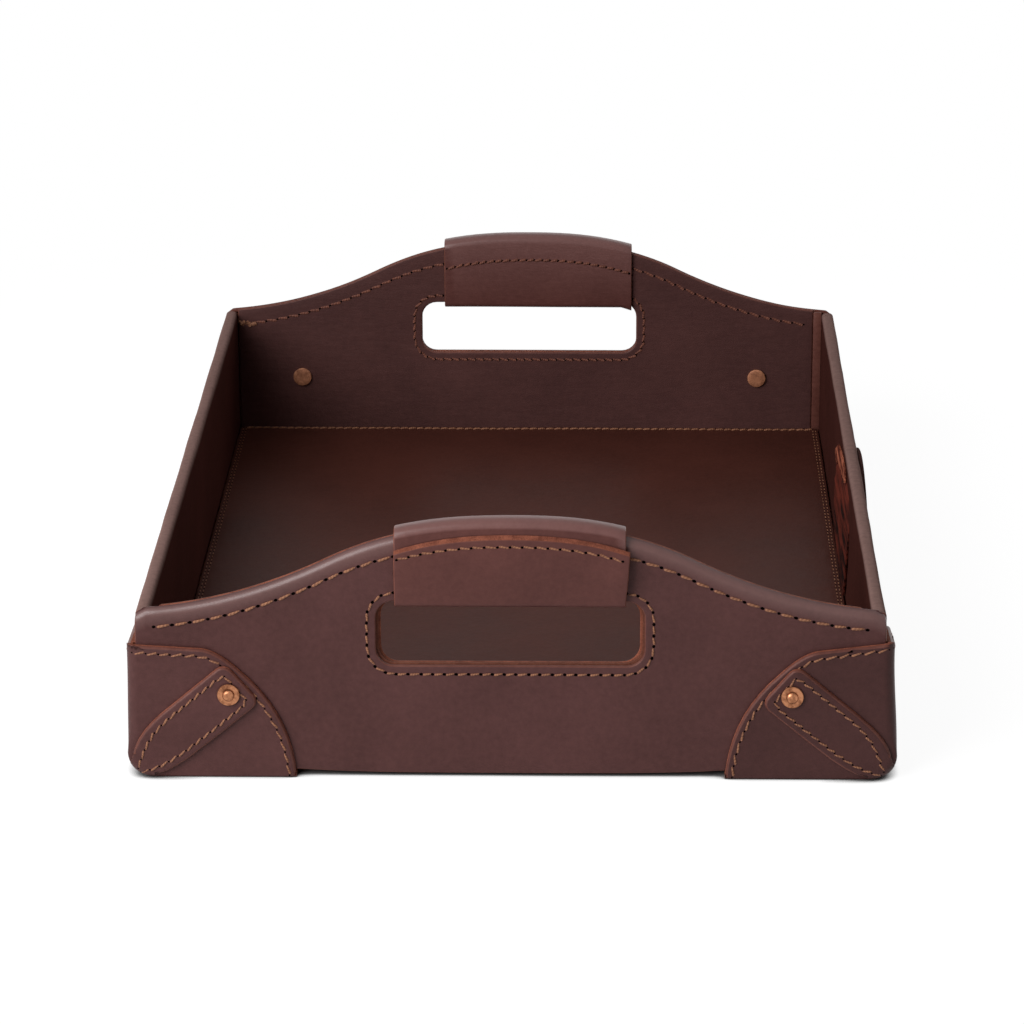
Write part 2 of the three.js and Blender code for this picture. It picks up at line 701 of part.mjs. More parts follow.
function trough() {
  const group = new THREE.Group();
  const rightWall = new THREE.Group();
  rightWall.rotation.z = 2 * QUARTER;
  rightWall.add(
    piece("right_wall", leftWall(), COFFEE_LEATHER),
    piece("right_board", leftBoard(), STIFF_BOARD),
  );
  group.add(
    piece("left_wall", leftWall(), COFFEE_LEATHER),
    piece("left_board", leftBoard(), STIFF_BOARD),
    rightWall,
    piece("base_skin", baseSkin(), COFFEE_LEATHER),
    piece("base_board", baseBoard(), STIFF_BOARD),
    piece("floor_lining", floorLining(), LINING_LEATHER),
  );
  return group;
}

function rightPatch() {
  const group = new THREE.Group();
  const innerFace = INNER_HALF_WIDTH - FIT - PATCH_INNER_LEATHER;
  const facingFace = innerFace - FIT - PATCH_INNER_LEATHER;
  group.add(
    piece("right_patch_outer", patch(HALF_WIDTH + FIT, PATCH_OUTER_LEATHER, 0), COFFEE_LEATHER),
    piece("right_patch_inner", patch(innerFace, PATCH_INNER_LEATHER, 0), RAW_LEATHER),
    piece("right_patch_facing", patch(facingFace, PATCH_INNER_LEATHER, PATCH_FACING_INSET), RAW_LEATHER),
  );
  return group;
}

const rear = end("rear", "rear_right", "rear_left", -REAR_GRIP_SHIFT);
rear.rotation.z = 2 * QUARTER;

const tray = new THREE.Group();
tray.name = "serving_tray";
tray.add(trough(), end("front", "front_left", "front_right", 0), rear, rightPatch());

export default tray;
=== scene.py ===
"""Looks of a leather serving tray: cut and folded leather, waxed thread, copper rivets and a plain studio.

Pieces are cut flat or moulded in millimetres and become objects in metres. Those of the walls and corners are
made in the place of the front end, left side or front left corner, then mirrored or turned into place.
"""

import json
import logging
import math
import random
from dataclasses import dataclass, replace
from enum import Enum
from typing import Sequence

import bmesh
import bpy
from bmesh.types import BMesh
from mathutils import Matrix, Vector, noise
from mathutils.bvhtree import BVHTree

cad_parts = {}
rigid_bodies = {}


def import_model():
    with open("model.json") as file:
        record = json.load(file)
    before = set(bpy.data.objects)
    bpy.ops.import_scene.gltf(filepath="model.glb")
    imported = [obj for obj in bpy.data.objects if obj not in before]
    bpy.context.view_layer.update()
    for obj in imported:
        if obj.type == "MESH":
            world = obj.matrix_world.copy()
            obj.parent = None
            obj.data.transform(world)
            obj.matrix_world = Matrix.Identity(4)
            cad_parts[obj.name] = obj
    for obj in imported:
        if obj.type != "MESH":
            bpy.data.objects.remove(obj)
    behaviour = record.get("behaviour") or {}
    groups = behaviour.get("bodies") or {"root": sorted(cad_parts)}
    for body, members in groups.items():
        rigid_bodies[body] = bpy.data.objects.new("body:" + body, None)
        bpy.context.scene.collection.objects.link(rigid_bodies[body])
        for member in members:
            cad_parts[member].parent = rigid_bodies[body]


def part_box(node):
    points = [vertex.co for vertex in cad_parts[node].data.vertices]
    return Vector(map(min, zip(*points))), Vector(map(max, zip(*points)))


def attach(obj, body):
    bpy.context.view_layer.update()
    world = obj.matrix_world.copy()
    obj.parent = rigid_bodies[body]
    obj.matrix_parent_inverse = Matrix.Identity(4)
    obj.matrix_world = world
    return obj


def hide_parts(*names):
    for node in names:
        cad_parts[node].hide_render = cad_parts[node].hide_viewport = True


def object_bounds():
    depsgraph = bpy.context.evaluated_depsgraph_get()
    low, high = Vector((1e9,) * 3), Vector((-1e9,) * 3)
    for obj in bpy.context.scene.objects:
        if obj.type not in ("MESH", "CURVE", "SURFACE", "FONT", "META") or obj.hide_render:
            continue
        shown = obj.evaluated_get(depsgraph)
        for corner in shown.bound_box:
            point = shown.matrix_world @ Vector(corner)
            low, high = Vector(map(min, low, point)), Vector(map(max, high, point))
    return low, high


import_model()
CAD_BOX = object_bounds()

LOG = logging.getLogger("tray")
MILLIMETRE = 0.001
BODY = "root"
SHARP_EDGE = math.radians(50.0)
SHARP_SHADING = math.radians(28.0)
RIM_ROUNDING = 0.45
RUB_DEPTH = 0.05
LARGE_ROUNDING = 1.2
CUT_SNAP = 0.0001
STRAY = 0.02
TOUCH = 0.01
BROAD_WAVE = 55.0
FINE_WAVE = 19.0
CORNER_SEED = 31
FULL_FLAP_TOP = 69.5
FULL_BULGE = 2.2
INWARD = Vector((0.0, 1.0, 0.0))
OUTWARD = Vector((0.0, -1.0, 0.0))
GRAIN = 0
RAW = 1
RUBBED = 2

Point = tuple[float, float]
Rgb = tuple[int, int, int]


class Value:
    """A shader value that takes part in Python arithmetic."""

    def __init__(self, graph: "ShaderGraph", socket: bpy.types.NodeSocket) -> None:
        """Keep the graph and the output socket that the value comes from."""
        self.graph = graph
        self.socket = socket

    def __add__(self, other: "Value | float") -> "Value":
        """Add a value or a number."""
        return self.graph.math("ADD", self, other)

    def __sub__(self, other: "Value | float") -> "Value":
        """Take away a value or a number."""
        return self.graph.math("SUBTRACT", self, other)

    def __rsub__(self, other: float) -> "Value":
        """Take this value away from a number."""
        return self.graph.math("SUBTRACT", other, self)

    def __mul__(self, other: "Value | float") -> "Value":
        """Multiply by a value or a number."""
        return self.graph.math("MULTIPLY", self, other)

    __radd__ = __add__
    __rmul__ = __mul__

    def sine(self) -> "Value":
        """Return the sine of the value."""
        return self.graph.math("SINE", self, 0.0)


class ShaderGraph:
    """Node tree that is filled by expressions, and by one method for any other node."""

    def __init__(self, tree: bpy.types.NodeTree) -> None:
        """Start with an empty tree."""
        self.tree = tree
        tree.nodes.clear()

    def node(self, kind: str, settings: dict | None = None, sockets: dict | None = None) -> bpy.types.Node:
        """Add one node.

        Args:
            kind: The node's type name.
            settings: Properties of the node, set first.
            sockets: Values or links of its inputs, by name or number.

        Returns:
            The new node.
        """
        made = self.tree.nodes.new(kind)
        for name, setting in (settings or {}).items():
            setattr(made, name, setting)
        for name, source in (sockets or {}).items():
            if isinstance(source, Value):
                self.tree.links.new(source.socket, made.inputs[name])
            else:
                made.inputs[name].default_value = source
        return made

    def value(self, kind: str, settings: dict | None = None, sockets: dict | None = None,
              output: int | str = 0) -> Value:
        """Add one node and return the value of one of its outputs."""
        return Value(self, self.node(kind, settings, sockets).outputs[output])

    def math(self, operation: str, first: Value | float, second: Value | float) -> Value:
        """Add a Math node."""
        return self.value("ShaderNodeMath", {"operation": operation}, {0: first, 1: second})

    def mix(self, factor: Value | float, first: Value | tuple, second: Value | tuple) -> Value:
        """Blend from one colour to another."""
        return self.value("ShaderNodeMix", {"data_type": "RGBA"}, {0: factor, 6: first, 7: second}, 2)

    def place(self) -> Value:
        """Return the Object coordinates."""
        return self.value("ShaderNodeTexCoord", output="Object")

    def attribute(self, name: str) -> Value:
        """Return a number that the mesh carries."""
        return self.value("ShaderNodeAttribute", {"attribute_name": name}, output="Fac")

    def squeezed(self, place: Value, scale: tuple[float, float, float]) -> Value:
        """Scale coordinates by a different amount along each axis."""
        return self.value("ShaderNodeMapping", None, {"Vector": place, "Scale": scale})

    def noise(self, place: Value, scale: float, detail: float = 2.0, roughness: float = 0.5) -> Value:
        """Return cloudy noise from 0 to 1."""
        sockets = {"Vector": place, "Scale": scale, "Detail": detail, "Roughness": roughness}
        return self.value("ShaderNodeTexNoise", None, sockets)

    def cells(self, place: Value, scale: float) -> Value:
        """Return the distance to the nearest of many scattered points."""
        return self.value("ShaderNodeTexVoronoi", None, {"Vector": place, "Scale": scale})

    def between(self, value: Value, low: float, high: float) -> Value:
        """Spread the part of a value between two limits over 0 to 1."""
        return self.value("ShaderNodeMapRange", None, {"Value": value, "From Min": low, "From Max": high})

    def bump(self, height: Value, distance: float, strength: float, below: Value | None = None) -> Value:
        """Return a normal that is tilted by a height.

        Args:
            height: Height from 0 to 1.
            distance: Size of that height in metres.
            strength: Share of the tilt that is used.
            below: Normal of a coarser relief under this one.

        Returns:
            The tilted normal.
        """
        sockets = {"Height": height, "Distance": distance, "Strength": strength}
        if below is not None:
            sockets["Normal"] = below
        return self.value("ShaderNodeBump", None, sockets)

    def surface(self, sockets: dict) -> None:
        """End the tree in a Principled surface with the given sockets."""
        shader = self.value("ShaderNodeBsdfPrincipled", None, sockets)
        self.node("ShaderNodeOutputMaterial", None, {"Surface": shader})


def linear(tone: Rgb) -> tuple[float, float, float, float]:
    """Turn a colour of the screen, from 0 to 255, into the shader's linear colour."""
    shares = [level / 255.0 for level in tone]
    levels = [((share + 0.055) / 1.055) ** 2.4 if share > 0.04045 else share / 12.92 for share in shares]
    return (*levels, 1.0)


def new_graph(name: str) -> tuple[bpy.types.Material, ShaderGraph]:
    """Make an empty material and the graph of its nodes."""
    material = bpy.data.materials.new(name)
    material.use_nodes = True
    return material, ShaderGraph(material.node_tree)


@dataclass(frozen=True)
class LeatherFinish:
    """Dyed and waxed leather, with cloudy colour, fine pebbled grain and pale folds, whose paleness is partly
    stretched leather and partly painted sheen.

    Scales of its noises count features along a metre, and depths are in metres.
    """

    CLOUD_SCALE = 16.0
    SPECK_SCALE = 330.0
    PEBBLE_SCALE = 1250.0
    PEBBLE_DEPTH = 0.00032
    PORE_SCALE = 2300.0
    CREASE_SCALES = (70.0, 70.0, 260.0)
    CREASE_DEPTH = 0.0012
    CREASE_SHARE = 0.25
    COAT_ROUGHNESS = 0.32

    name: str
    dark: Rgb
    light: Rgb
    pulled: Rgb
    roughness: float
    pebble: float
    specular: float = 0.22
    polish: float = 0.15
    coat: float = 0.0

    def material(self) -> bpy.types.Material:
        """Build the material.

        Returns:
            The leather's material.
        """
        material, graph = new_graph(self.name)
        place = graph.place()
        stretch = graph.attribute("stretch")
        clouds = graph.noise(place, self.CLOUD_SCALE, 4.0, 0.6)
        specks = graph.noise(place, self.SPECK_SCALE, 3.0, 0.65)
        tone = graph.between(clouds * 0.65 + specks * 0.35, 0.36, 0.66)
        colour = graph.mix(tone, linear(self.dark), linear(self.light))
        # Stretched places turn towards a paler tone: partly stretched leather, partly painted sheen along
        # folds and crests
        pulled = stretch * graph.between(clouds * 0.4 + specks * 0.6, -0.4, 0.6)
        colour = graph.mix(pulled, colour, linear(self.pulled))
        pebbles = graph.cells(place, self.PEBBLE_SCALE)
        pores = graph.noise(place, self.PORE_SCALE, 2.0, 0.6)
        creases = graph.noise(graph.squeezed(place, self.CREASE_SCALES), 1.0, 4.0, 0.62)
        height = (1 - pebbles) * 0.55 + pores * 0.3
        coarse = graph.bump(creases, self.CREASE_DEPTH, self.CREASE_SHARE)
        normal = graph.bump(height, self.PEBBLE_DEPTH, self.pebble, coarse)
        gloss = graph.between(clouds * 0.5 + pores * 0.5, 0.25, 0.75)
        sockets = {
            "Base Color": colour,
            "Roughness": self.roughness - 0.07 + gloss * 0.14 - stretch * self.polish,
            "Specular IOR Level": self.specular,
            "Normal": normal,
        }
        if self.coat:
            sockets |= {"Coat Weight": stretch * self.coat, "Coat Roughness": self.COAT_ROUGHNESS}
        graph.surface(sockets)
        return material


@dataclass(frozen=True)
class FibreFinish:
    """Cut edge, flesh side or bonded board: matt fibres of uneven colour."""

    PATCH_SHARE = 0.12
    MIDDLE_TONE = 0.49
    FIBRE_DEPTH = 0.0005

    name: str
    dark: Rgb
    light: Rgb
    fibre_scale: float
    roughness: float = 0.85
    along: float = 1.0
    specular: float = 0.2
    blend: float = 0.15

    def material(self) -> bpy.types.Material:
        """Build the material.

        Returns:
            The fibrous material.
        """
        material, graph = new_graph(self.name)
        place = graph.squeezed(graph.place(), (1.0, self.along, 1.0))
        fibres = graph.noise(place, self.fibre_scale, 4.0, 0.7)
        patches = graph.noise(place, self.fibre_scale * self.PATCH_SHARE, 3.0, 0.6)
        low, high = self.MIDDLE_TONE - self.blend, self.MIDDLE_TONE + self.blend
        tone = graph.between(fibres * 0.55 + patches * 0.45, low, high)
        graph.surface({
            "Base Color": graph.mix(tone, linear(self.dark), linear(self.light)),
            "Roughness": self.roughness - 0.08 + fibres * 0.16,
            "Specular IOR Level": self.specular,
            "Normal": graph.bump(fibres, self.FIBRE_DEPTH, 0.5),
        })
        return material


@dataclass(frozen=True)
class ThreadFinish:
    """Waxed twisted thread: its plies show as slanted stripes along each stitch."""

    PLIES = 5.0
    PLY_DEPTH = 0.0002
    WEAR_SCALE = 420.0

    name: str
    dark: Rgb
    light: Rgb

    def material(self) -> bpy.types.Material:
        """Build the material.

        Returns:
            The thread's material.
        """
        material, graph = new_graph(self.name)
        coordinates = graph.value("ShaderNodeTexCoord", output="UV")
        parts = graph.node("ShaderNodeSeparateXYZ", None, {"Vector": coordinates})
        around = Value(graph, parts.outputs["X"])
        along = Value(graph, parts.outputs["Y"])
        twist = ((around + along * self.PLIES) * math.tau).sine() * 0.5 + 0.5
        wear = graph.noise(graph.place(), self.WEAR_SCALE, 3.0, 0.6)
        tone = graph.between(twist * 0.25 + wear * 0.75, 0.2, 0.8)
        graph.surface({
            "Base Color": graph.mix(tone, linear(self.dark), linear(self.light)),
            "Roughness": 0.5 + wear * 0.2,
            "Specular IOR Level": 0.3,
            "Normal": graph.bump(twist, self.PLY_DEPTH, 0.6),
        })
        return material


@dataclass(frozen=True)
class MetalFinish:
    """Worn copper with tarnish and fine scratches."""

    TARNISH_SCALE = 300.0
    SCRATCH_SCALES = (300.0, 300.0, 4200.0)
    SCRATCH_DEPTH = 0.0001

    name: str
    bright: Rgb
    tarnished: Rgb
    metallic: float = 1.0
    roughness: float = 0.26

    def material(self) -> bpy.types.Material:
        """Build the material.

        Returns:
            The metal's material.
        """
        material, graph = new_graph(self.name)
        place = graph.place()
        tarnish = graph.between(graph.noise(place, self.TARNISH_SCALE, 4.0, 0.65), 0.42, 0.68)
        scratches = graph.noise(graph.squeezed(place, self.SCRATCH_SCALES), 1.0, 2.0, 0.6)
        graph.surface({
            "Base Color": graph.mix(tarnish, linear(self.bright), linear(self.tarnished)),
            "Metallic": self.metallic,
            "Roughness": self.roughness + tarnish * 0.2 + scratches * 0.08,
            "Normal": graph.bump(scratches, self.SCRATCH_DEPTH, 0.25),
        })
        return material


class Finishes:
    """All the materials of the tray, each made once."""

    def __init__(self) -> None:
        """Mix the dyes."""
        self.outer = LeatherFinish("outer_leather", (73, 42, 40), (92, 57, 55), (110, 75, 71), 0.5, 0.3,
                                   polish=0.1, coat=0.75).material()
        # Darker copy of the outer leather, for painted shade on the front right corner
        self.dim = LeatherFinish("dim_leather", (65, 37, 35), (81, 49, 47), (96, 64, 60), 0.5, 0.3,
                                 specular=0.2).material()
        self.patch = FibreFinish("patch_leather", (54, 29, 26), (72, 41, 37), 900.0, specular=0.05).material()
        # The side leather's pale third colour is painted sheen on the wall tops, which have almost no gloss
        # of their own
        self.side = LeatherFinish("side_leather", (60, 32, 28), (74, 41, 36), (152, 121, 114), 0.6, 0.25,
                                  specular=0.003, polish=0.0).material()
        self.lining = LeatherFinish("lining_leather", (76, 48, 46), (91, 58, 55), (110, 80, 74), 0.55, 0.25,
                                    specular=0.14).material()
        self.floor = LeatherFinish("floor_leather", (70, 37, 30), (83, 45, 37), (110, 80, 74), 0.46, 0.16,
                                   specular=0.055).material()
        self.grip = LeatherFinish("grip_leather", (87, 51, 47), (105, 64, 59), (126, 87, 83), 0.44, 0.16,
                                  specular=0.18, polish=0.1, coat=0.3).material()
        self.rubbed = LeatherFinish("rubbed_edge", (92, 53, 46), (124, 78, 68), (124, 78, 68), 0.4, 0.2,
                                    specular=0.14).material()
        self.raw = FibreFinish("raw_leather", (94, 48, 37), (162, 96, 74), 1500.0).material()
        self.torn = FibreFinish("torn_leather", (22, 9, 7), (112, 50, 39), 190.0, along=0.1, specular=0.05,
                                blend=0.07).material()
        self.strip = FibreFinish("torn_strip", (80, 34, 26), (214, 128, 98), 260.0, along=0.1, specular=0.05,
                                 blend=0.07).material()
        self.board = FibreFinish("stiff_board", (92, 52, 41), (134, 82, 65), 900.0).material()
        # Near-black discs on the leather at each awl hole: painted shade standing in for the depth of the
        # real holes
        self.shade = FibreFinish("awl_hole_shade", (4, 2, 2), (9, 6, 5), 1500.0, 0.95, specular=0.0).material()
        self.thread = ThreadFinish("waxed_thread", (106, 64, 46), (182, 128, 96)).material()
        # Darker copy of the waxed thread for the seams inside the walls: painted shade
        self.dull_thread = ThreadFinish("dull_thread", (78, 42, 34), (142, 88, 70)).material()
        self.copper = MetalFinish("copper", (184, 126, 92), (108, 66, 45)).material()
        self.dull_copper = MetalFinish("dull_copper", (190, 128, 94), (132, 82, 58), 0.35, 0.42).material()

    def sheet(self, grain: bpy.types.Material) -> list[bpy.types.Material]:
        """Return the three materials of a leather sheet: its grain side, raw fibres and rubbed edges."""
        return [grain, self.raw, self.rubbed]


def spread(start: float, end: float, step: float) -> list[float]:
    """Return evenly spaced places from start to end, both included, about one step apart."""
    count = max(1, round(abs(end - start) / step))
    return [start + (end - start) * index / count for index in range(count + 1)]


def cut_lines(start: float, end: float, step: float) -> list[float]:
    """Return the evenly spaced places between start and end, without the two."""
    return spread(start, end, step)[1:-1]


def grid_cuts(low: Sequence[float], high: Sequence[float], step: float) -> tuple[list[float], list[float]]:
    """Return the cut lines both ways across a rectangle."""
    return cut_lines(low[0], high[0], step), cut_lines(low[1], high[1], step)


def quarter(centre: Point, radius: float, start: float, end: float, count: int = 6) -> list[Point]:
    """Return points on an arc, from one angle in degrees to another."""
    angles = [math.radians(start + (end - start) * index / count) for index in range(count + 1)]
    return [(centre[0] + radius * math.cos(angle), centre[1] + radius * math.sin(angle)) for angle in angles]


def rounded_rectangle(low: Point, high: Point, radius: float, step: float) -> list[Point]:
    """Return the outline of a rectangle with round corners, anticlockwise from its lower left.

    Args:
        low: Lower left corner.
        high: Upper right corner.
        radius: Radius of the corners.
        step: Spacing of the points on the straight sides.

    Returns:
        The points of the closed outline.
    """
    left, bottom = low[0] + radius, low[1] + radius
    right, top = high[0] - radius, high[1] - radius
    points = quarter((left, bottom), radius, 180.0, 270.0)
    points += [(x, low[1]) for x in cut_lines(left, right, step)]
    points += quarter((right, bottom), radius, 270.0, 360.0)
    points += [(high[0], y) for y in cut_lines(bottom, top, step)]
    points += quarter((right, top), radius, 0.0, 90.0)
    points += [(x, high[1]) for x in cut_lines(right, left, step)]
    points += quarter((left, top), radius, 90.0, 180.0)
    points += [(low[0], y) for y in cut_lines(top, bottom, step)]
    return points


def quadratic(start: Point, control: Point, end: Point, count: int = 9) -> list[Point]:
    """Return points on a curve from start to end that leans towards a control point."""
    points = []
    for index in range(count + 1):
        share = index / count
        weights = ((1 - share) ** 2, 2 * share * (1 - share), share ** 2)
        parts = list(zip(weights, (start, control, end)))
        points.append(tuple(sum(weight * point[axis] for weight, point in parts) for axis in (0, 1)))
    return points


def offset_path(path: Sequence[Point], distance: float) -> list[Point]:
    """Shift an open path to its left by a distance."""
    shifted = []
    for index, (x, y) in enumerate(path):
        before = path[max(index - 1, 0)]
        after = path[min(index + 1, len(path) - 1)]
        along = Vector((after[0] - before[0], after[1] - before[1])).normalized()
        shifted.append((x - along.y * distance, y + along.x * distance))
    return shifted


def flat_sheet(outline: Sequence[Point], holes: Sequence[Sequence[Point]] = ()) -> BMesh:
    """Cut an open flat sheet.

    Args:
        outline: Closed outline of the sheet.
        holes: Closed outlines of its openings.

    Returns:
        The sheet at height zero, grain side up.
    """
    sheet = bmesh.new()
    for loop in (outline, *holes):
        corners = [sheet.verts.new((x, y, 0.0)) for x, y in loop]
        for first, second in zip(corners, corners[1:] + corners[:1]):
            sheet.edges.new((first, second))
    bmesh.ops.triangle_fill(sheet, use_beauty=True, use_dissolve=False, edges=sheet.edges[:],
                            normal=(0, 0, 1))
    bmesh.ops.dissolve_limit(sheet, angle_limit=0.01, use_dissolve_boundaries=False, verts=[],
                             edges=sheet.edges[:])
    for face in sheet.faces:
        if face.normal.z < 0.0:
            face.normal_flip()
    return sheet


def cut_plane(shell: BMesh, place: Vector, outward: Vector, away: bool = True) -> None:
    """Cut a mesh by a plane and throw away the part outside it, or only add the cut line."""
    everything = shell.verts[:] + shell.edges[:] + shell.faces[:]
    bmesh.ops.bisect_plane(shell, geom=everything, dist=CUT_SNAP, plane_co=place, plane_no=outward,
                           clear_outer=away)


def slice_mesh(shell: BMesh, axis: int, places: Sequence[float]) -> None:
    """Add cut lines across a mesh at places along an axis, so that it can bend there."""
    across = Vector((0.0, 0.0, 0.0))
    across[axis] = 1.0
    for place in places:
        cut_plane(shell, across * place, across, False)


def round_edges(shell: BMesh, edges: Sequence[bmesh.types.BMEdge], radius: float, segments: int,
                clamp: bool = False) -> None:
    """Round some edges of a mesh; a clamped rounding stops where two would meet."""
    bmesh.ops.bevel(shell, geom=edges, offset=radius, offset_type="OFFSET", segments=segments, profile=0.5,
                    affect="EDGES", material=-1, clamp_overlap=clamp)


def round_rim(shell: BMesh, rim: Sequence[bmesh.types.BMEdge], radius: float) -> None:
    """Round cut edges, and pull corners that a tight turn throws out back onto the leather.

    Args:
        shell: The closed mesh.
        rim: Its cut edges.
        radius: Radius of the rounding.
    """
    before = BVHTree.FromBMesh(shell)
    round_edges(shell, rim, radius, 4, radius < LARGE_ROUNDING)
    for corner in shell.verts:
        place, normal, _, distance = before.find_nearest(corner.co)
        if distance > radius / 2 or (corner.co - place).dot(normal) > STRAY:
            corner.co = place


def thicken(shell: BMesh, thickness: float, cuts: Sequence[Sequence[float]], rounding: float = RIM_ROUNDING,
            dyed: float = 0.42) -> None:
    """Give an open sheet or shell its leather thickness, round its cut edges and mark its raw faces.

    Args:
        shell: The open mesh, grain side out.
        thickness: Thickness of the leather, inwards.
        cuts: Places of cut lines along X, Y and Z.
        rounding: Rounding of the cut edges on the grain side.
        dyed: Share of the thickness that is dyed and rubbed smooth from the grain side.
    """
    grain_side = BVHTree.FromBMesh(shell)
    bmesh.ops.solidify(shell, geom=shell.faces[:], thickness=thickness)
    for inside, radius in ((True, min(rounding, RIM_ROUNDING)), (False, rounding)):
        sharp = [edge for edge in shell.edges
                 if len(edge.link_faces) == 2 and edge.calc_face_angle() > SHARP_EDGE]
        rim = [edge for edge in sharp
               if inside == all(grain_side.find_nearest(end.co)[3] > thickness / 2 for end in edge.verts)]
        round_rim(shell, rim, radius)
    for axis, places in enumerate(cuts):
        slice_mesh(shell, axis, places)
    for face in shell.faces:
        depth = grain_side.find_nearest(face.calc_center_median())[3] / thickness
        face.material_index = RAW if depth > dyed else GRAIN if depth < RUB_DEPTH else RUBBED


def wave(place: Vector, size: float, seed: float) -> float:
    """Return smooth noise between about -1 and 1, with humps of a given size."""
    return noise.noise(place / size + Vector((seed, seed * 0.37, seed * 0.73)))


def eased(value: float, low: float, high: float) -> float:
    """Rise smoothly from 0 at the low limit to 1 at the high one."""
    share = min(1.0, max(0.0, (value - low) / (high - low)))
    return share * share * (3.0 - 2.0 * share)


class Fold:
    """Way from a flat pattern to the folded piece; this one leaves it flat, facing up."""

    def __init__(self, height: float, facing: float = 1.0) -> None:
        """Keep the height of the grain side, and 1 to face up or -1 to face down."""
        self.height = height
        self.facing = facing

    def place(self, u: float, v: float, w: float) -> Vector:
        """Return the place of a pattern point that lies w above the grain side."""
        return Vector((u, v, self.height + self.facing * w))

    def stretch(self, u: float, v: float) -> float:
        """Return how far the leather is stretched there, from 0 to 1, which also places painted sheen."""
        return 0.0


def fold_sheet(shell: BMesh, fold: Fold, relief: float, seed: float) -> None:
    """Bend a flat piece into its place.

    Args:
        shell: The flat piece, changed in place.
        fold: Where each point of the pattern goes.
        relief: Height of the natural waviness of the leather.
        seed: Start of its noise.
    """
    stretch = shell.verts.layers.float.new("stretch")
    for corner in shell.verts:
        u, v, w = corner.co
        flat = Vector((u, v, 0.0))
        rise = relief * (0.7 * wave(flat, BROAD_WAVE, seed) + 0.3 * wave(flat, FINE_WAVE, seed + 3.1))
        corner[stretch] = fold.stretch(u, v)
        corner.co = fold.place(u, v, w + rise)
    bmesh.ops.recalc_face_normals(shell, faces=shell.faces[:])


def finish_piece(shell: BMesh, name: str, materials: Sequence[bpy.types.Material],
                 replaced: Sequence[str] = ()) -> None:
    """Turn a mesh in millimetres into a dressed object of the scene.

    Args:
        shell: The mesh, freed here.
        name: Name of the piece.
        materials: Its materials, grain side first.
        replaced: The CAD nodes that it stands for.
    """
    bmesh.ops.scale(shell, vec=(MILLIMETRE,) * 3, verts=shell.verts[:])
    mesh = bpy.data.meshes.new(name)
    shell.to_mesh(mesh)
    shell.free()
    for material in materials:
        mesh.materials.append(material)
    mesh.polygons.foreach_set("use_smooth", [True] * len(mesh.polygons))
    mesh.set_sharp_from_angle(angle=SHARP_SHADING)
    piece = bpy.data.objects.new(name, mesh)
    bpy.context.scene.collection.objects.link(piece)
    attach(piece, BODY)
    for node in replaced:
        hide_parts(node)
    LOG.info("%s: %d faces", name, len(mesh.polygons))


def mirrored(shell: BMesh) -> BMesh:
    """Return a copy of a left-hand mesh as its right-hand twin, facing out."""
    twin = shell.copy()
    bmesh.ops.scale(twin, vec=(-1.0, 1.0, 1.0), verts=twin.verts[:])
    bmesh.ops.reverse_faces(twin, faces=twin.faces[:])
    return twin


def rotate(shell: BMesh, angle: float, axis: str) -> None:
    """Turn a mesh round an axis through the origin."""
    bmesh.ops.rotate(shell, cent=(0, 0, 0), matrix=Matrix.Rotation(angle, 3, axis), verts=shell.verts[:])


def turn_round(shell: BMesh) -> None:
    """Turn a mesh of the front end or left side to the rear end or right side."""
    rotate(shell, math.pi, "Z")


@dataclass(frozen=True)
class Seam:
    """Hand sewing: short tan stitches between open awl holes."""

    pitch: float
    slant: float = 0.3
    cover: float = 0.7
    width: float = 0.45
    height: float = 0.42
    hole_length: float = 0.95
    hole_width: float = 0.68


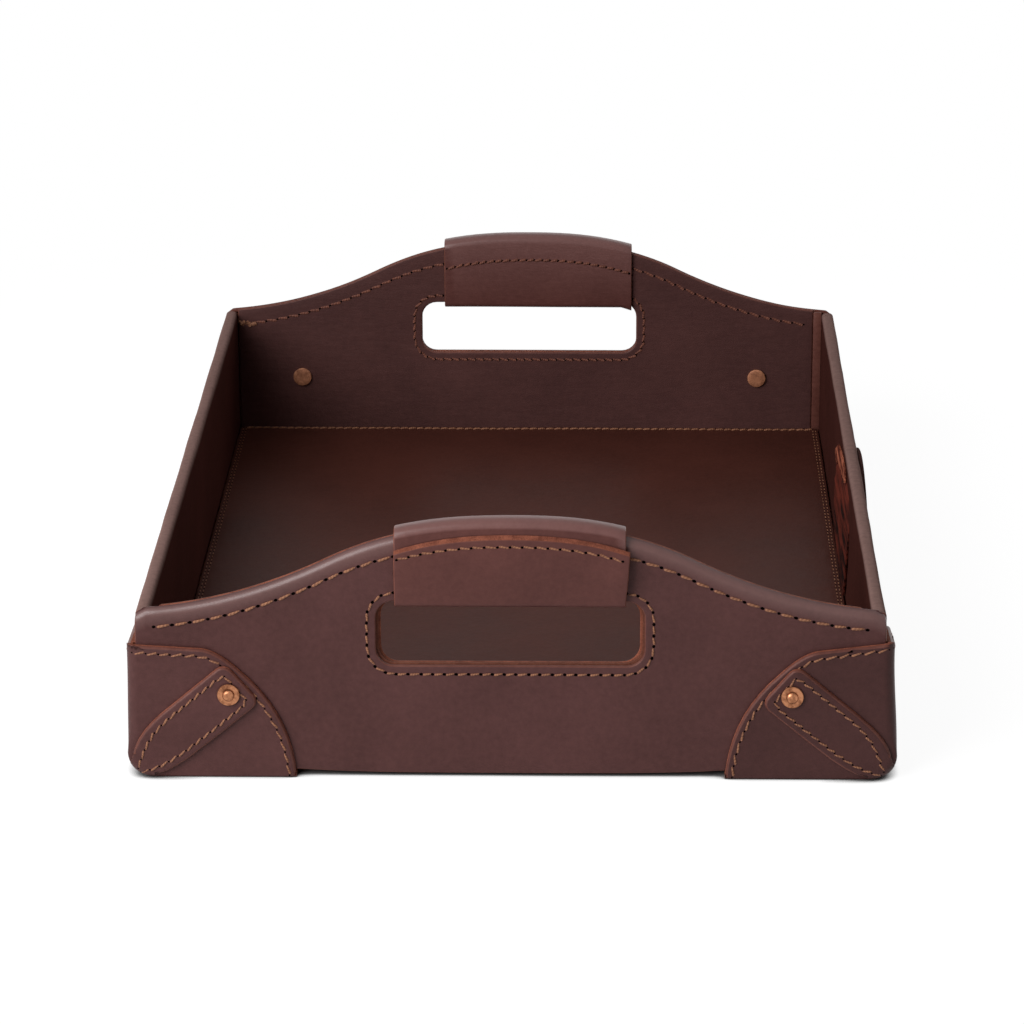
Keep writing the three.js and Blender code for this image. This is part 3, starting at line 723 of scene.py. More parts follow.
class Needlework:
    """Thread and awl holes of one group of seams, laid on finished leather."""

    REACH = 40.0
    STAND = 0.35
    HOLE_DEPTH = 0.1
    UNEVEN = 0.06

    def __init__(self, seed: int) -> None:
        """Thread the needle: make the one stitch and the one hole that are copied."""
        self.chance = random.Random(seed)
        self.thread = bmesh.new()
        self.holes = bmesh.new()
        self.stitch = self._ball("stitch", 8, 7, 6.0, 0.75, 0.22)
        # Each hole is a flat near-black disc on the leather, painted shade in place of a real hole's depth
        self.hole = self._ball("hole", 8, 4, 2.0, 0.0, 0.0)

    @staticmethod
    def _ball(name: str, around: int, along: int, fullness: float, dive: float,
              taper: float) -> bpy.types.Mesh:
        """Make a unit ball drawn out along X.

        Args:
            name: Name of its mesh.
            around: Faces around it.
            along: Faces along it.
            fullness: How far its thickness holds towards the ends; 2 is a plain ball.
            dive: How far its ends bend down.
            taper: How much thinner its far end is.

        Returns:
            The mesh that is copied along a seam.
        """
        ball = bmesh.new()
        ball.loops.layers.uv.new("UVMap")
        bmesh.ops.create_uvsphere(ball, u_segments=around, v_segments=along, radius=1.0, calc_uvs=True)
        rotate(ball, math.pi / 2, "Y")
        for corner in ball.verts:
            thin = math.hypot(corner.co.y, corner.co.z)
            full = math.sqrt(max(0.0, 1.0 - abs(corner.co.x) ** fullness))
            if thin > 0.001:
                corner.co.y *= full / thin
                corner.co.z *= full / thin
            corner.co.z -= dive * corner.co.x ** 4
            corner.co.y *= 1.0 - taper * corner.co.x
        mesh = bpy.data.meshes.new(name)
        ball.to_mesh(mesh)
        ball.free()
        return mesh

    @staticmethod
    def _stamp(target: BMesh, source: bpy.types.Mesh, matrix: Matrix) -> None:
        """Add a copy of a mesh to a bmesh, moved by a matrix."""
        first = len(target.verts)
        target.from_mesh(source)
        target.verts.ensure_lookup_table()
        bmesh.ops.transform(target, matrix=matrix, verts=target.verts[first:])

    @staticmethod
    def _frame(centre: Vector, along: Vector, normal: Vector, size: tuple[float, float, float]) -> Matrix:
        """Return the matrix that sets a unit ball along a direction, on a surface with that normal."""
        side = normal.cross(along).normalized()
        up = along.cross(side).normalized()
        turn = Matrix((along, side, up)).transposed().to_4x4()
        return Matrix.Translation(centre) @ turn @ Matrix.Diagonal((*size, 1.0))

    def _lay(self, start: Vector, end: Vector, normal: Vector, seam: Seam) -> None:
        """Lay one stitch from hole to hole."""
        along = (end - start).normalized()
        centre = (start + end) / 2 + normal * (seam.height * self.STAND)
        size = ((end - start).length / 2 + 0.1, seam.width, seam.height)
        self._stamp(self.thread, self.stitch, self._frame(centre, along, normal, size))

    def sew(self, surface: BVHTree, path: Sequence[Vector], towards: Vector, seam: Seam) -> None:
        """Sew a seam along a path.

        Args:
            surface: The leather that is sewn.
            path: Points of the seam, on the leather or in front of it.
            towards: Direction in which the needle goes in.
            seam: Spacing and thread.
        """
        lengths = [(second - first).length for first, second in zip(path, path[1:])]
        count = max(1, round(sum(lengths) / seam.pitch))
        step = sum(lengths) / count
        pricked = []
        for index in range(count + 1):
            stray = self.chance.uniform(-self.UNEVEN, self.UNEVEN)
            rest = step * index + stray * seam.pitch * (0 < index < count)
            place = 0
            while place < len(lengths) - 1 and rest > lengths[place]:
                rest -= lengths[place]
                place += 1
            spot = path[place].lerp(path[place + 1], min(rest / lengths[place], 1.0))
            found = surface.ray_cast(spot - towards * self.REACH, towards)
            pricked.append((found[0], found[1]) if found[0] is not None else None)
        for first, second in zip(pricked, pricked[1:]):
            if first is None or second is None:
                continue
            normal = (first[1] + second[1]).normalized()
            along = (second[0] - first[0]).normalized()
            side = normal.cross(along) * seam.slant * self.chance.uniform(0.7, 1.3)
            bare = (second[0] - first[0]) * (1.0 - seam.cover) / 2
            self._lay(first[0] + bare - side, second[0] - bare + side, normal, seam)
        for index, prick in enumerate(pricked):
            near = pricked[index + 1] if index + 1 < len(pricked) else pricked[index - 1]
            if prick is None or near is None:
                continue
            along = (near[0] - prick[0]).normalized()
            size = (seam.hole_length * self.chance.uniform(0.85, 1.1), seam.hole_width, self.HOLE_DEPTH)
            self._stamp(self.holes, self.hole, self._frame(prick[0], along, prick[1], size))

    def knot(self, surface: BVHTree, spot: Vector, towards: Vector, seam: Seam, tail: Vector) -> None:
        """Tie off a seam with a long lumpy knot.

        Args:
            surface: The leather that it lies on.
            spot: Place of the knot.
            towards: Direction in which the needle goes in.
            seam: The thread.
            tail: Half of its length, as a direction along the leather.
        """
        found = surface.ray_cast(spot - towards * self.REACH, towards)
        if found[0] is None:
            return
        normal = found[1]
        length = tail.length
        along = tail.normalized()
        across = normal.cross(along)
        thick = replace(seam, width=seam.width * 1.9, height=seam.height * 1.9)
        for index, shift in enumerate(spread(1.2 - length, length - 1.2, 1.1)):
            middle = found[0] + along * shift + normal * (0.35 * (index % 3))
            turn = self.chance.uniform(-1.1, 1.1)
            reach = (along * math.cos(turn) + across * math.sin(turn)) * self.chance.uniform(1.4, 2.2)
            self._lay(middle - reach, middle + reach, normal, thick)

    def finish(self, name: str, thread: bpy.types.Material, shade: bpy.types.Material,
               turned: bool = False) -> None:
        """Make the thread and the holes two objects."""
        for shell, label, material in ((self.thread, "thread", thread), (self.holes, "holes", shade)):
            if turned:
                turn_round(shell)
            finish_piece(shell, f"{name}_{label}", [material])


def node_box(name: str) -> tuple[Vector, Vector]:
    """Return the lowest and highest corners of a CAD node, in millimetres."""
    low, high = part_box(name)
    return Vector(low) / MILLIMETRE, Vector(high) / MILLIMETRE


@dataclass(frozen=True)
class TrayForm:
    """Shared form of the tray, in millimetres, with its main sizes read from the frame."""

    half_width: float
    half_length: float
    underside: float
    crown: float
    wall: float
    side_height: float
    floor_top: float
    corner_height: float = 83.3
    shoulder_height: float = 107.8
    shoulder: float = 86.0
    crown_power: float = 2.5
    leather: float = 2.2
    roll: float = 4.1
    base_edge: float = 9.0
    top_corner: float = 5.0
    sag: float = 1.6
    sag_half: float = 99.0

    @classmethod
    def from_frame(cls) -> "TrayForm":
        """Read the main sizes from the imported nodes."""
        skin_low, skin_high = node_box("front_skin")
        lining_high = node_box("front_lining")[1]
        return cls(
            half_width=skin_high.x,
            half_length=-skin_low.y,
            underside=skin_low.z,
            crown=skin_high.z,
            wall=lining_high.y - skin_low.y,
            side_height=node_box("left_wall")[1].z,
            floor_top=node_box("floor_lining")[1].z,
        )

    def arch(self, x: float) -> float:
        """Return the height of an end wall's ogee top, before its corners are rounded."""
        rise = self.crown - self.shoulder_height
        past = abs(x) - self.shoulder
        if past <= 0.0:
            return self.crown - rise * (abs(x) / self.shoulder) ** self.crown_power
        slope = self.crown_power * rise / self.shoulder
        run = self.half_width - self.shoulder
        bend = (slope * run - (self.shoulder_height - self.corner_height)) / run ** 2
        return self.shoulder_height - slope * past + bend * past ** 2

    def corner_cut(self, x: float, radius: float) -> float:
        """Return how much a round corner takes off at the end of a wall."""
        past = min(abs(x) - (self.half_width - radius), radius)
        return radius - math.sqrt(radius ** 2 - past ** 2) if past > 0.0 else 0.0

    def end_top(self, x: float) -> float:
        """Return the height of an end wall's top, round corners included."""
        return self.arch(x) - self.corner_cut(x, self.top_corner)

    def end_bottom(self, x: float) -> float:
        """Return the height of an end wall's round-cornered lower edge, with its slight sag."""
        sag = self.sag * max(0.0, 1.0 - (x / self.sag_half) ** 4)
        return self.underside + self.corner_cut(x, self.base_edge) - sag


@dataclass(frozen=True)
class HandSlot:
    """Outline of a hand slot in one layer of an end wall."""

    half: float
    low: float
    top: float
    corner: float = 8.5

    def outline(self, margin: float = 0.0) -> list[Point]:
        """Return the closed outline, grown by a margin."""
        low = (-self.half - margin, self.low - margin)
        high = (self.half + margin, self.top + margin)
        return rounded_rectangle(low, high, self.corner + margin, 4.0)

    def top_at(self, x: float) -> float:
        """Return the height of its upper edge, which comes down at its round corners."""
        past = min(max(0.0, abs(x) - self.half + self.corner), self.corner)
        return self.top - self.corner + math.sqrt(self.corner ** 2 - past ** 2)


class EndSkinFold(Fold):
    """Outer leather of an end wall: flat up to the roll over the top edge. Patterns hang from the crest."""

    def __init__(self, form: TrayForm) -> None:
        """Keep the tray's form."""
        self.form = form

    def place(self, u: float, v: float, w: float) -> Vector:
        """Return the place of a point at u across and v above the crest."""
        form = self.form
        start = form.end_top(u) - form.roll
        turn = max(0.0, (v + form.roll) / form.roll)
        if turn == 0.0:
            return Vector((u, -form.half_length - w, form.end_top(u) + v))
        reach = form.roll + w
        depth = form.roll - reach * math.cos(turn)
        return Vector((u, -form.half_length + depth, start + reach * math.sin(turn)))

    def stretch(self, u: float, v: float) -> float:
        """Return the pull of the roll, which also lays a painted sheen along it."""
        roll = self.form.roll
        return 0.85 * eased(v, -roll - 3.0, 1.5 - roll) * (1.0 - eased((v + roll) / roll, 0.8, 1.4))


class EndLiningFold(Fold):
    """Inner leather of an end wall, flat, hung from the crest like the outer one."""

    def __init__(self, form: TrayForm) -> None:
        """Keep the tray's form."""
        self.form = form

    def place(self, u: float, v: float, w: float) -> Vector:
        """Return the place of a point at u across and v above the crest."""
        return Vector((u, self.form.wall - self.form.half_length + w, self.form.end_top(u) + v))


class GripFold(Fold):
    """Leather wrapped round the bar over the slot and lapped on the outside."""

    CROWN = 2.0
    EDGE = 2.4
    CREASE = 0.5
    GAP = 0.3
    SEAM_DROP = 2.6
    LAP = 11.0
    STEP = 5.0
    LAP_SAG = 2.6
    LIFT = 1.0
    PULL = 0.8

    def __init__(self, form: TrayForm, slot: HandSlot, half: float, middle: float, flare: float) -> None:
        """Lay out the wrap in the middle of the bar; its upper points rise and fall with the arch.

        Args:
            form: The tray's form.
            slot: The slot under the bar.
            half: Half of the grip's length.
            middle: Place of the grip's middle along the wall.
            flare: How far the lap's upper right corner stands out past the wrap.
        """
        self.flare = flare
        self.slot = slot
        self.half = half
        self.middle = middle
        self.form = form
        outer = -self.GAP
        inner = form.wall + self.GAP
        crown = form.crown + self.CROWN
        bottom = slot.top - self.GAP
        lap = outer - form.leather - self.GAP
        seam = form.crown - self.SEAM_DROP
        hidden = seam - self.LAP
        upper = [(outer, hidden)]
        upper += quarter((outer + self.EDGE, crown - self.EDGE), self.EDGE, 180.0, 90.0)
        upper += quarter((inner - self.EDGE, crown - self.EDGE), self.EDGE, 90.0, 0.0)
        lower = quarter((inner - self.CREASE, bottom + self.CREASE), self.CREASE, 0.0, -90.0, 4)
        lower += quarter((outer + self.CREASE, bottom + self.CREASE), self.CREASE, 270.0, 180.0, 4)
        last = [(lap, hidden - self.STEP), (lap, seam)]
        self.points = [Vector(point) for point in upper + lower + last]
        self.rising = [True] * len(upper) + [False] * len(lower) + [True] * len(last)
        self.ends = [0.0]
        for first, second in zip(self.points, self.points[1:]):
            self.ends.append(self.ends[-1] + (second - first).length)
        self.crown_end = self.ends[len(upper) - 1]
        self.normals = []
        for index in range(len(self.points)):
            before = self.points[max(index - 1, 0)]
            after = self.points[min(index + 1, len(self.points) - 1)]
            along = (after - before).normalized()
            self.normals.append(Vector((-along.y, along.x)))

    def place(self, u: float, v: float, w: float) -> Vector:
        """Return the place of a point at u across and v along the wrap."""
        x = u + self.middle
        last = len(self.points) - 1
        rise = self.form.arch(x) - self.form.crown
        fall = self.slot.top_at(x) - self.slot.top
        sag = self.LAP_SAG * (u / self.half) ** 2
        shifts = [rise if rising else fall for rising in self.rising[:-1]] + [rise - sag]
        index = 0
        while index < last - 1 and v > self.ends[index + 1]:
            index += 1
        share = (v - self.ends[index]) / (self.ends[index + 1] - self.ends[index])
        first = self.points[index] + Vector((0.0, shifts[index]))
        second = self.points[index + 1] + Vector((0.0, shifts[index + 1]))
        out = self.normals[index].lerp(self.normals[index + 1], share).normalized()
        lap = max(0.0, v - self.ends[-3]) / (self.ends[-1] - self.ends[-3]) * (self.flare > 0.0)
        lift = self.LIFT * min(1.0, lap * 2.0) * eased(u / self.half, 0.7, 1.0)
        spot = first.lerp(second, share) + out * (self.form.leather + w + lift)
        swing = self.flare * lap * max(0.0, u / self.half)
        return Vector((x + swing, spot.x - self.form.half_length, spot.y))

    def stretch(self, u: float, v: float) -> float:
        """Return the pull over the crown, which also lays a painted sheen along it."""
        return self.PULL if self.ends[1] < v < self.crown_end else 0.0


class SideFold(Fold):
    """Leather of a side wall: up the inside, over the top, down the outside and in under the base."""

    FLATNESS = 0.7
    TUCK = 24.0

    def __init__(self, form: TrayForm) -> None:
        """Work out the lengths of the leather's straight and bent runs."""
        self.form = form
        self.low = form.floor_top - form.leather
        self.bend = form.wall / 2
        self.spring = form.side_height - self.bend
        self.inside = self.spring - self.low
        self.over = self.inside + math.pi * self.bend
        self.foot = self.over + self.spring - form.underside - form.base_edge
        self.turned = self.foot + math.pi / 2 * form.base_edge
        self.tuck = self.turned + self.TUCK - form.base_edge

    def place(self, u: float, v: float, w: float) -> Vector:
        """Return the place of a point at u along the tray and v along the fold."""
        form = self.form
        if v <= self.inside:
            return Vector((form.wall - form.half_width + w, u, self.low + v))
        if v <= self.over:
            turn = (v - self.inside) / self.bend
            reach = self.bend + w
            across = math.copysign(abs(math.cos(turn)) ** self.FLATNESS, math.cos(turn))
            up = max(0.0, math.sin(turn)) ** self.FLATNESS
            return Vector((self.bend - form.half_width + reach * across, u, self.spring + reach * up))
        if v <= self.foot:
            return Vector((-form.half_width - w, u, self.spring - (v - self.over)))
        if v <= self.turned:
            turn = (v - self.foot) / form.base_edge
            reach = form.base_edge + w
            middle = form.base_edge - form.half_width
            height = form.underside + form.base_edge - reach * math.sin(turn)
            return Vector((middle - reach * math.cos(turn), u, height))
        return Vector((form.base_edge - form.half_width + v - self.turned, u, form.underside - w))

    def stretch(self, u: float, v: float) -> float:
        """Return the pull over the top fold, which also lays a painted sheen along it."""
        before = (v - self.inside) / 2.0
        after = (self.over + 2.0 - v) / 3.0
        return max(0.0, min(1.0, before, after))


class PatchFold(Fold):
    """Flat piece against a face of the right wall."""

    def __init__(self, x: float, facing: float) -> None:
        """Keep the place of its shown face along X, and 1 to face right or -1 to face left."""
        self.x = x
        self.facing = facing

    def place(self, u: float, v: float, w: float) -> Vector:
        """Return the place of a point at u along the tray and v up."""
        return Vector((self.x + self.facing * w, u, v))


class EndName(Enum):
    """The two end walls, named as in the frame."""

    FRONT = "front"
    REAR = "rear"


@dataclass
class EndWall:
    """An end wall: rolled skin, lining, wrapped grip and their seams."""

    STEP = 4.0
    SKIN_STEP = 5.5
    LINING_STEP = 6.0
    ROLL_STEP = 0.8
    SKIN_DEPTH = 118.0
    LINING_DEPTH = 116.0
    LINING_GAP = 0.2

    form: TrayForm
    finishes: Finishes
    name: EndName
    slot_top: float = 88.2
    grip_half: float = 54.0
    rear_shift: float = 5.2
    lining_half: float = 164.6
    rear_lining_end: float = 169.0
    lining_low: float = 5.5
    crest_seam: float = 9.2
    seam_half: float = 167.0
    slot_margin: float = 4.2
    lap_margin: float = 3.6
    lap_flare: float = 2.0
    inner_drop: float = 2.3
    knot_reach: float = 5.6
    knot_drop: float = 8.2
    bevel: float = 1.9
    top_seam: Seam = Seam(8.4, width=0.62, height=0.55, hole_length=1.0, hole_width=0.75)
    slot_seam: Seam = Seam(5.6, slant=0.32, width=0.52, hole_length=0.9, hole_width=0.75)
    lap_seam: Seam = Seam(6.0, slant=0.4, cover=0.78, width=0.55, height=0.5, hole_length=0.8, hole_width=0.6)
    inner_seam: Seam = Seam(6.6, slant=0.5, cover=0.82, width=0.8, height=0.55, hole_length=0.8,
                            hole_width=0.5)
    rope_seam: Seam = Seam(4.7, slant=0.55, cover=0.9, width=0.72, height=0.55, hole_length=0.8,
                           hole_width=0.7)

    def __post_init__(self) -> None:
        """Cut the slot of each layer: the front lining's is narrower than the skin's."""
        if self.turned:
            self.slot = HandSlot(half=62.3, low=58.0, top=self.slot_top)
            self.lining_slot = HandSlot(half=62.0, low=58.2, top=self.slot_top)
        else:
            self.slot = HandSlot(half=63.0, low=55.8, top=self.slot_top)
            self.lining_slot = HandSlot(half=60.8, low=56.3, top=self.slot_top)
        self.grip_middle = -self.rear_shift if self.turned else 0.0

    @property
    def turned(self) -> bool:
        """Say whether this is the end that is turned to the rear."""
        return self.name is EndName.REAR

    def _panel(self, sides: Point, low: float | None, high: float, slot: HandSlot) -> BMesh:
        """Cut a wall panel with its hand slot, as a pattern that hangs from the crest.

        Args:
            sides: Places of its left and right edges.
            low: Height of its lower edge, or None for the wall's own round-cornered one.
            high: Height of its top above the crest.
            slot: Its hand slot.

        Returns:
            The flat open sheet.
        """
        form = self.form
        across = spread(*sides, self.STEP)
        outline = [(x, (form.end_bottom(x) if low is None else low) - form.end_top(x)) for x in across]
        outline += [(x, high) for x in reversed(across)]
        return flat_sheet(outline, [[(x, z - form.end_top(x)) for x, z in slot.outline()]])

    def _finish(self, shell: BMesh, part: str, look: str, grain: bpy.types.Material) -> None:
        """Turn a leather of the front end to this end, and dress it in place of its CAD node."""
        if self.turned:
            turn_round(shell)
        node = f"{self.name.value}_{part}"
        finish_piece(shell, f"{node}_{look}", self.finishes.sheet(grain), [node])

    def build(self) -> None:
        """Build and dress the end wall."""
        outer_work = Needlework(11 if self.turned else 5)
        inner_work = Needlework(12 if self.turned else 6)
        self._build_skin(outer_work)
        self._build_lining(inner_work, outer_work)
        self._build_grip(inner_work, outer_work)
        shade = self.finishes.shade
        outer_work.finish(f"{self.name.value}_seams", self.finishes.thread, shade, self.turned)
        # The inside seams take the darker copy of the thread, painted shade
        inner_work.finish(f"{self.name.value}_inner_seams", self.finishes.dull_thread, shade, self.turned)

    def _on_wall(self, x: float, z: float) -> Vector:
        """Return a point on the outer face of the front wall."""
        return Vector((x, -self.form.half_length, z))

    def _seam_runs(self, drop: float) -> list[list[Vector]]:
        """Return the two runs of the crest seam, left and right of the grip."""
        left = self.grip_middle - self.grip_half - 0.5
        right = self.grip_middle + self.grip_half + 0.5
        runs = []
        for start, end in ((-self.seam_half, left), (right, self.seam_half)):
            runs.append([self._on_wall(x, self.form.arch(x) - drop) for x in spread(start, end, self.STEP)])
        return runs

    def _slot_run(self) -> list[Vector]:
        """Return the seam round the slot, from the grip's left end under the slot to its right end."""
        loop = self.slot.outline(self.slot_margin)
        start = max(range(len(loop)), key=lambda index: (loop[index][1], -abs(loop[index][0])))
        ordered = loop[start:] + loop[:start]
        kept = [(x, z) for x, z in ordered
                if abs(x - self.grip_middle) > self.grip_half - 1.0 or z < self.slot.low]
        return [self._on_wall(x, z) for x, z in kept]

    def _build_skin(self, work: Needlework) -> None:
        """Roll the outer leather and sew it."""
        form = self.form
        sides = (-form.half_width, form.half_width)
        top = form.roll * (math.pi / 2 - 1)
        shell = self._panel(sides, None, top, self.slot)
        rolled = spread(-form.roll, top, self.ROLL_STEP)[:-1]
        flat = cut_lines(-self.SKIN_DEPTH, -form.roll, self.SKIN_STEP)
        cuts = (cut_lines(*sides, self.SKIN_STEP), flat + rolled)
        thicken(shell, form.leather, cuts, 0.8, 0.95)
        fold_sheet(shell, EndSkinFold(form), 0.35, 21.0 if self.turned else 2.0)
        surface = BVHTree.FromBMesh(shell)
        for run in self._seam_runs(self.crest_seam):
            work.sew(surface, run, INWARD, self.top_seam)
        work.sew(surface, self._slot_run(), INWARD, self.slot_seam)
        self._finish(shell, "skin", "rolled", self.finishes.outer)

    def _build_lining(self, inner_work: Needlework, outer_work: Needlework) -> None:
        """Set the inner leather and sew it."""
        form = self.form
        sides = (-self.lining_half, self.rear_lining_end if self.turned else self.lining_half)
        shell = self._panel(sides, self.lining_low, -self.LINING_GAP, self.lining_slot)
        flat = cut_lines(-self.LINING_DEPTH, -self.LINING_GAP, self.LINING_STEP)
        cuts = (cut_lines(*sides, self.LINING_STEP), flat)
        thicken(shell, form.leather, cuts, 1.05)
        fold_sheet(shell, EndLiningFold(form), 0.3, 31.0 if self.turned else 12.0)
        surface = BVHTree.FromBMesh(shell)
        for run in self._seam_runs(self.crest_seam):
            inside = [point for point in run if abs(point.x) < self.lining_half - 2.0]
            inner_work.sew(surface, inside, OUTWARD, self.inner_seam)
        inner_work.sew(surface, self._slot_run(), OUTWARD, self.rope_seam)
        knot = self._on_wall(sides[1] - self.knot_reach, form.corner_height - self.knot_drop)
        outer_work.knot(surface, knot, OUTWARD, self.top_seam, Vector((self.knot_reach - 0.6, 0.0, 0.4)))
        self._finish(shell, "lining", "sewn", self.finishes.lining)

    def _build_grip(self, inner_work: Needlework, outer_work: Needlework) -> None:
        """Wrap the grip and sew its lap."""
        form = self.form
        half = self.grip_half
        bar = HandSlot(half=62.0, low=56.4, top=self.slot_top)
        wrap = GripFold(form, bar, half, self.grip_middle, 0.0 if self.turned else self.lap_flare)
        length = wrap.ends[-1]
        shell = flat_sheet([(-half, 0.0), (half, 0.0), (half, length), (-half, length)])
        thicken(shell, form.leather, (cut_lines(-half, half, self.LINING_STEP), wrap.ends[1:-1]), 0.6, 0.12)
        for corner in shell.verts:
            if corner.co.y > length - 1.0:
                corner.co.y -= self.bevel * (1.0 + corner.co.z / form.leather)
        fold_sheet(shell, wrap, 0.22, 41.0 if self.turned else 15.0)
        surface = BVHTree.FromBMesh(shell)
        drop = wrap.SEAM_DROP + self.bevel + self.lap_margin
        run = []
        for x in spread(1.5 - half, half - 1.5, self.STEP):
            across = x + self.grip_middle
            run.append(self._on_wall(across, form.arch(across) - drop - wrap.LAP_SAG * 0.6 * (x / half) ** 2))
        outer_work.sew(surface, run, INWARD, self.lap_seam)
        inside = [point - Vector((0.0, 0.0, self.inner_drop)) for point in run]
        inner_work.sew(surface, inside, OUTWARD, self.rope_seam)
        self._finish(shell, "grip", "wrapped", self.finishes.grip)


@dataclass
class Corner:
    """A lower corner: moulded guard, stitched strap, copper rivet and burr, made for the front left."""

    BEND_STEP = 5.0
    HEAD_DEPTH = 1.45

    form: TrayForm
    finishes: Finishes
    name: str
    mirror: bool
    turned: bool
    seed: int
    guard_leather: float = 2.4
    guard_fold: float = 1.4
    upright_fold: float = 5.5
    wall_gap: float = 4.0
    press: float = 1.7
    press_height: Point = (28.0, 60.0)
    bulge: float = 0.8
    bulge_depth: Point = (2.0, 16.0)
    bulge_height: Point = (12.0, 62.0)
    foot_blend: float = 9.0
    flap_foot: Point = (79.0, 0.0)
    flap_sweep: Point = (77.0, 32.0)
    flap_bend: Point = (53.8, 52.9)
    flap_shoulder: Point = (42.5, 64.2)
    flap_end: Point = (34.5, 64.6)
    flap_top: float = 66.5
    guard_heights: Point = (12.0, 66.0)
    guard_lengths: Point = (6.0, 74.0)
    guard_round: float = 12.0
    guard_lip: float = 16.0
    strap_fold: float = 4.5
    strap_round: float = 12.3
    strap_proud: float = 0.3
    strap_half: float = 12.9
    strap_tip: float = 8.5
    strap_corner: float = 5.0
    strap_lean: float = 40.0
    strap_wrap: float = 6.0
    edge_margin: float = 3.4
    strap_margin: float = 4.0
    reach: float = 110.0
    guard_seam: Seam = Seam(6.0, slant=0.6, cover=0.8, width=0.5, hole_length=0.6, hole_width=0.45)
    strap_seam: Seam = Seam(5.0, slant=0.6, cover=0.85, width=0.47, hole_length=0.55, hole_width=0.42)
    leather: bpy.types.Material | None = None

    def __post_init__(self) -> None:
        """Read the guard's outer faces, the strap's face and the rivet's axis from the frame."""
        self.guard_low = node_box("corner_guard_front_left")[0]
        self.strap_front = node_box("corner_strap_front_left")[0].y
        burr_low, burr_high = node_box("burr_front_left")
        middle = (burr_low + burr_high) / 2
        self.rivet = (middle.x, middle.z)
        if self.mirror:
            self.guard_seam = replace(self.guard_seam, slant=-self.guard_seam.slant)
            self.strap_seam = replace(self.strap_seam, slant=-self.strap_seam.slant)

    def _block(self, low: Vector, fold: float, edge_round: float) -> BMesh:
        """Mould an open shell round the tray's lower corner.

        Args:
            low: Its left, front and lower faces.
            fold: Radius of its folds at the end wall.
            edge_round: Radius of its fold along the side wall's lower edge.

        Returns:
            The shell, with no top, back or right side.
        """
        high = low + Vector((self.reach, self.reach, self.reach))
        shell = bmesh.new()
        size = Matrix.Diagonal((self.reach, self.reach, self.reach, 1.0))
        bmesh.ops.create_cube(shell, size=1.0, matrix=Matrix.Translation((low + high) / 2) @ size)
        foot = [edge for edge in shell.edges if all(
            abs(end.co.x - low.x) < TOUCH and abs(end.co.z - low.z) < TOUCH for end in edge.verts)]
        round_edges(shell, foot, edge_round, 10)
        folds = [edge for edge in shell.edges
                 if all(abs(end.co.y - low.y) < TOUCH for end in edge.verts)
                 and not all(end.co.x > high.x - TOUCH for end in edge.verts)
                 and not all(end.co.z > high.z - TOUCH for end in edge.verts)]
        round_edges(shell, folds, fold, 6)
        far = [face for face in shell.faces if max(face.normal) > 0.9
               and all(any(end.co[axis] > high[axis] - TOUCH for axis in range(3)) for end in face.verts)]
        bmesh.ops.delete(shell, geom=far, context="FACES")
        return shell

    def _flap(self) -> list[Point]:
        """Return the free edge of a guard's flap, measured from the corner along and up."""
        edge = quadratic(self.flap_foot, self.flap_sweep, self.flap_bend)
        edge += quadratic(self.flap_bend, self.flap_shoulder, self.flap_end)[1:]
        return edge + [(0.0, self.flap_top)]

    def _round_upright(self, shell: BMesh) -> None:
        """Round the open guard's upright fold, above the turn of its foot."""
        left, front, radius = self.guard_low.x, self.guard_low.y, self.upright_fold
        places = spread(0.0, radius, 0.9)[1:]
        slice_mesh(shell, 0, [left + place for place in places])
        slice_mesh(shell, 1, [front + place for place in places])
        for corner in shell.verts:
            side, end = corner.co.x - left, corner.co.y - front
            if max(side, end) > radius + TOUCH or min(side, end) > self.guard_fold:
                continue
            lean = math.radians(45.0) * (1.0 - min(1.0, abs(side - end) / radius))
            near, far = radius - radius * math.cos(lean), radius - radius * math.sin(lean)
            target = (far, near) if side >= end else (near, far)
            share = eased(corner.co.z, self.guard_round, self.guard_round + self.foot_blend)
            corner.co.x = left + side + (target[0] - side) * share
            corner.co.y = front + end + (target[1] - end) * share

    def _swell(self, shell: BMesh) -> None:
        """Let the foot of a front corner stand out sideways."""
        for corner in shell.verts:
            depth = corner.co.x - self.guard_low.x
            share = (1.0 - eased(depth, *self.bulge_depth)) * (1.0 - eased(corner.co.z, *self.bulge_height))
            corner.co.x -= self.bulge * share * (not self.turned)

    def _press_flap(self, shell: BMesh) -> None:
        """Bring the guard's side flap against the wall: thicker at the front, bent in at the rear."""
        left, front = self.guard_low.x, self.guard_low.y
        for corner in shell.verts:
            depth = corner.co.x - left
            if depth > self.guard_leather + 0.1:
                continue
            height = corner.co.z
            if self.turned:
                corner.co.x += self.press * eased(height, *self.press_height)
                continue
            share = eased(corner.co.y - front, self.guard_leather, self.upright_fold)
            share *= eased(height, self.guard_round, self.guard_round + self.foot_blend)
            corner.co.x += depth * share * (self.wall_gap / self.guard_leather - 1.0)

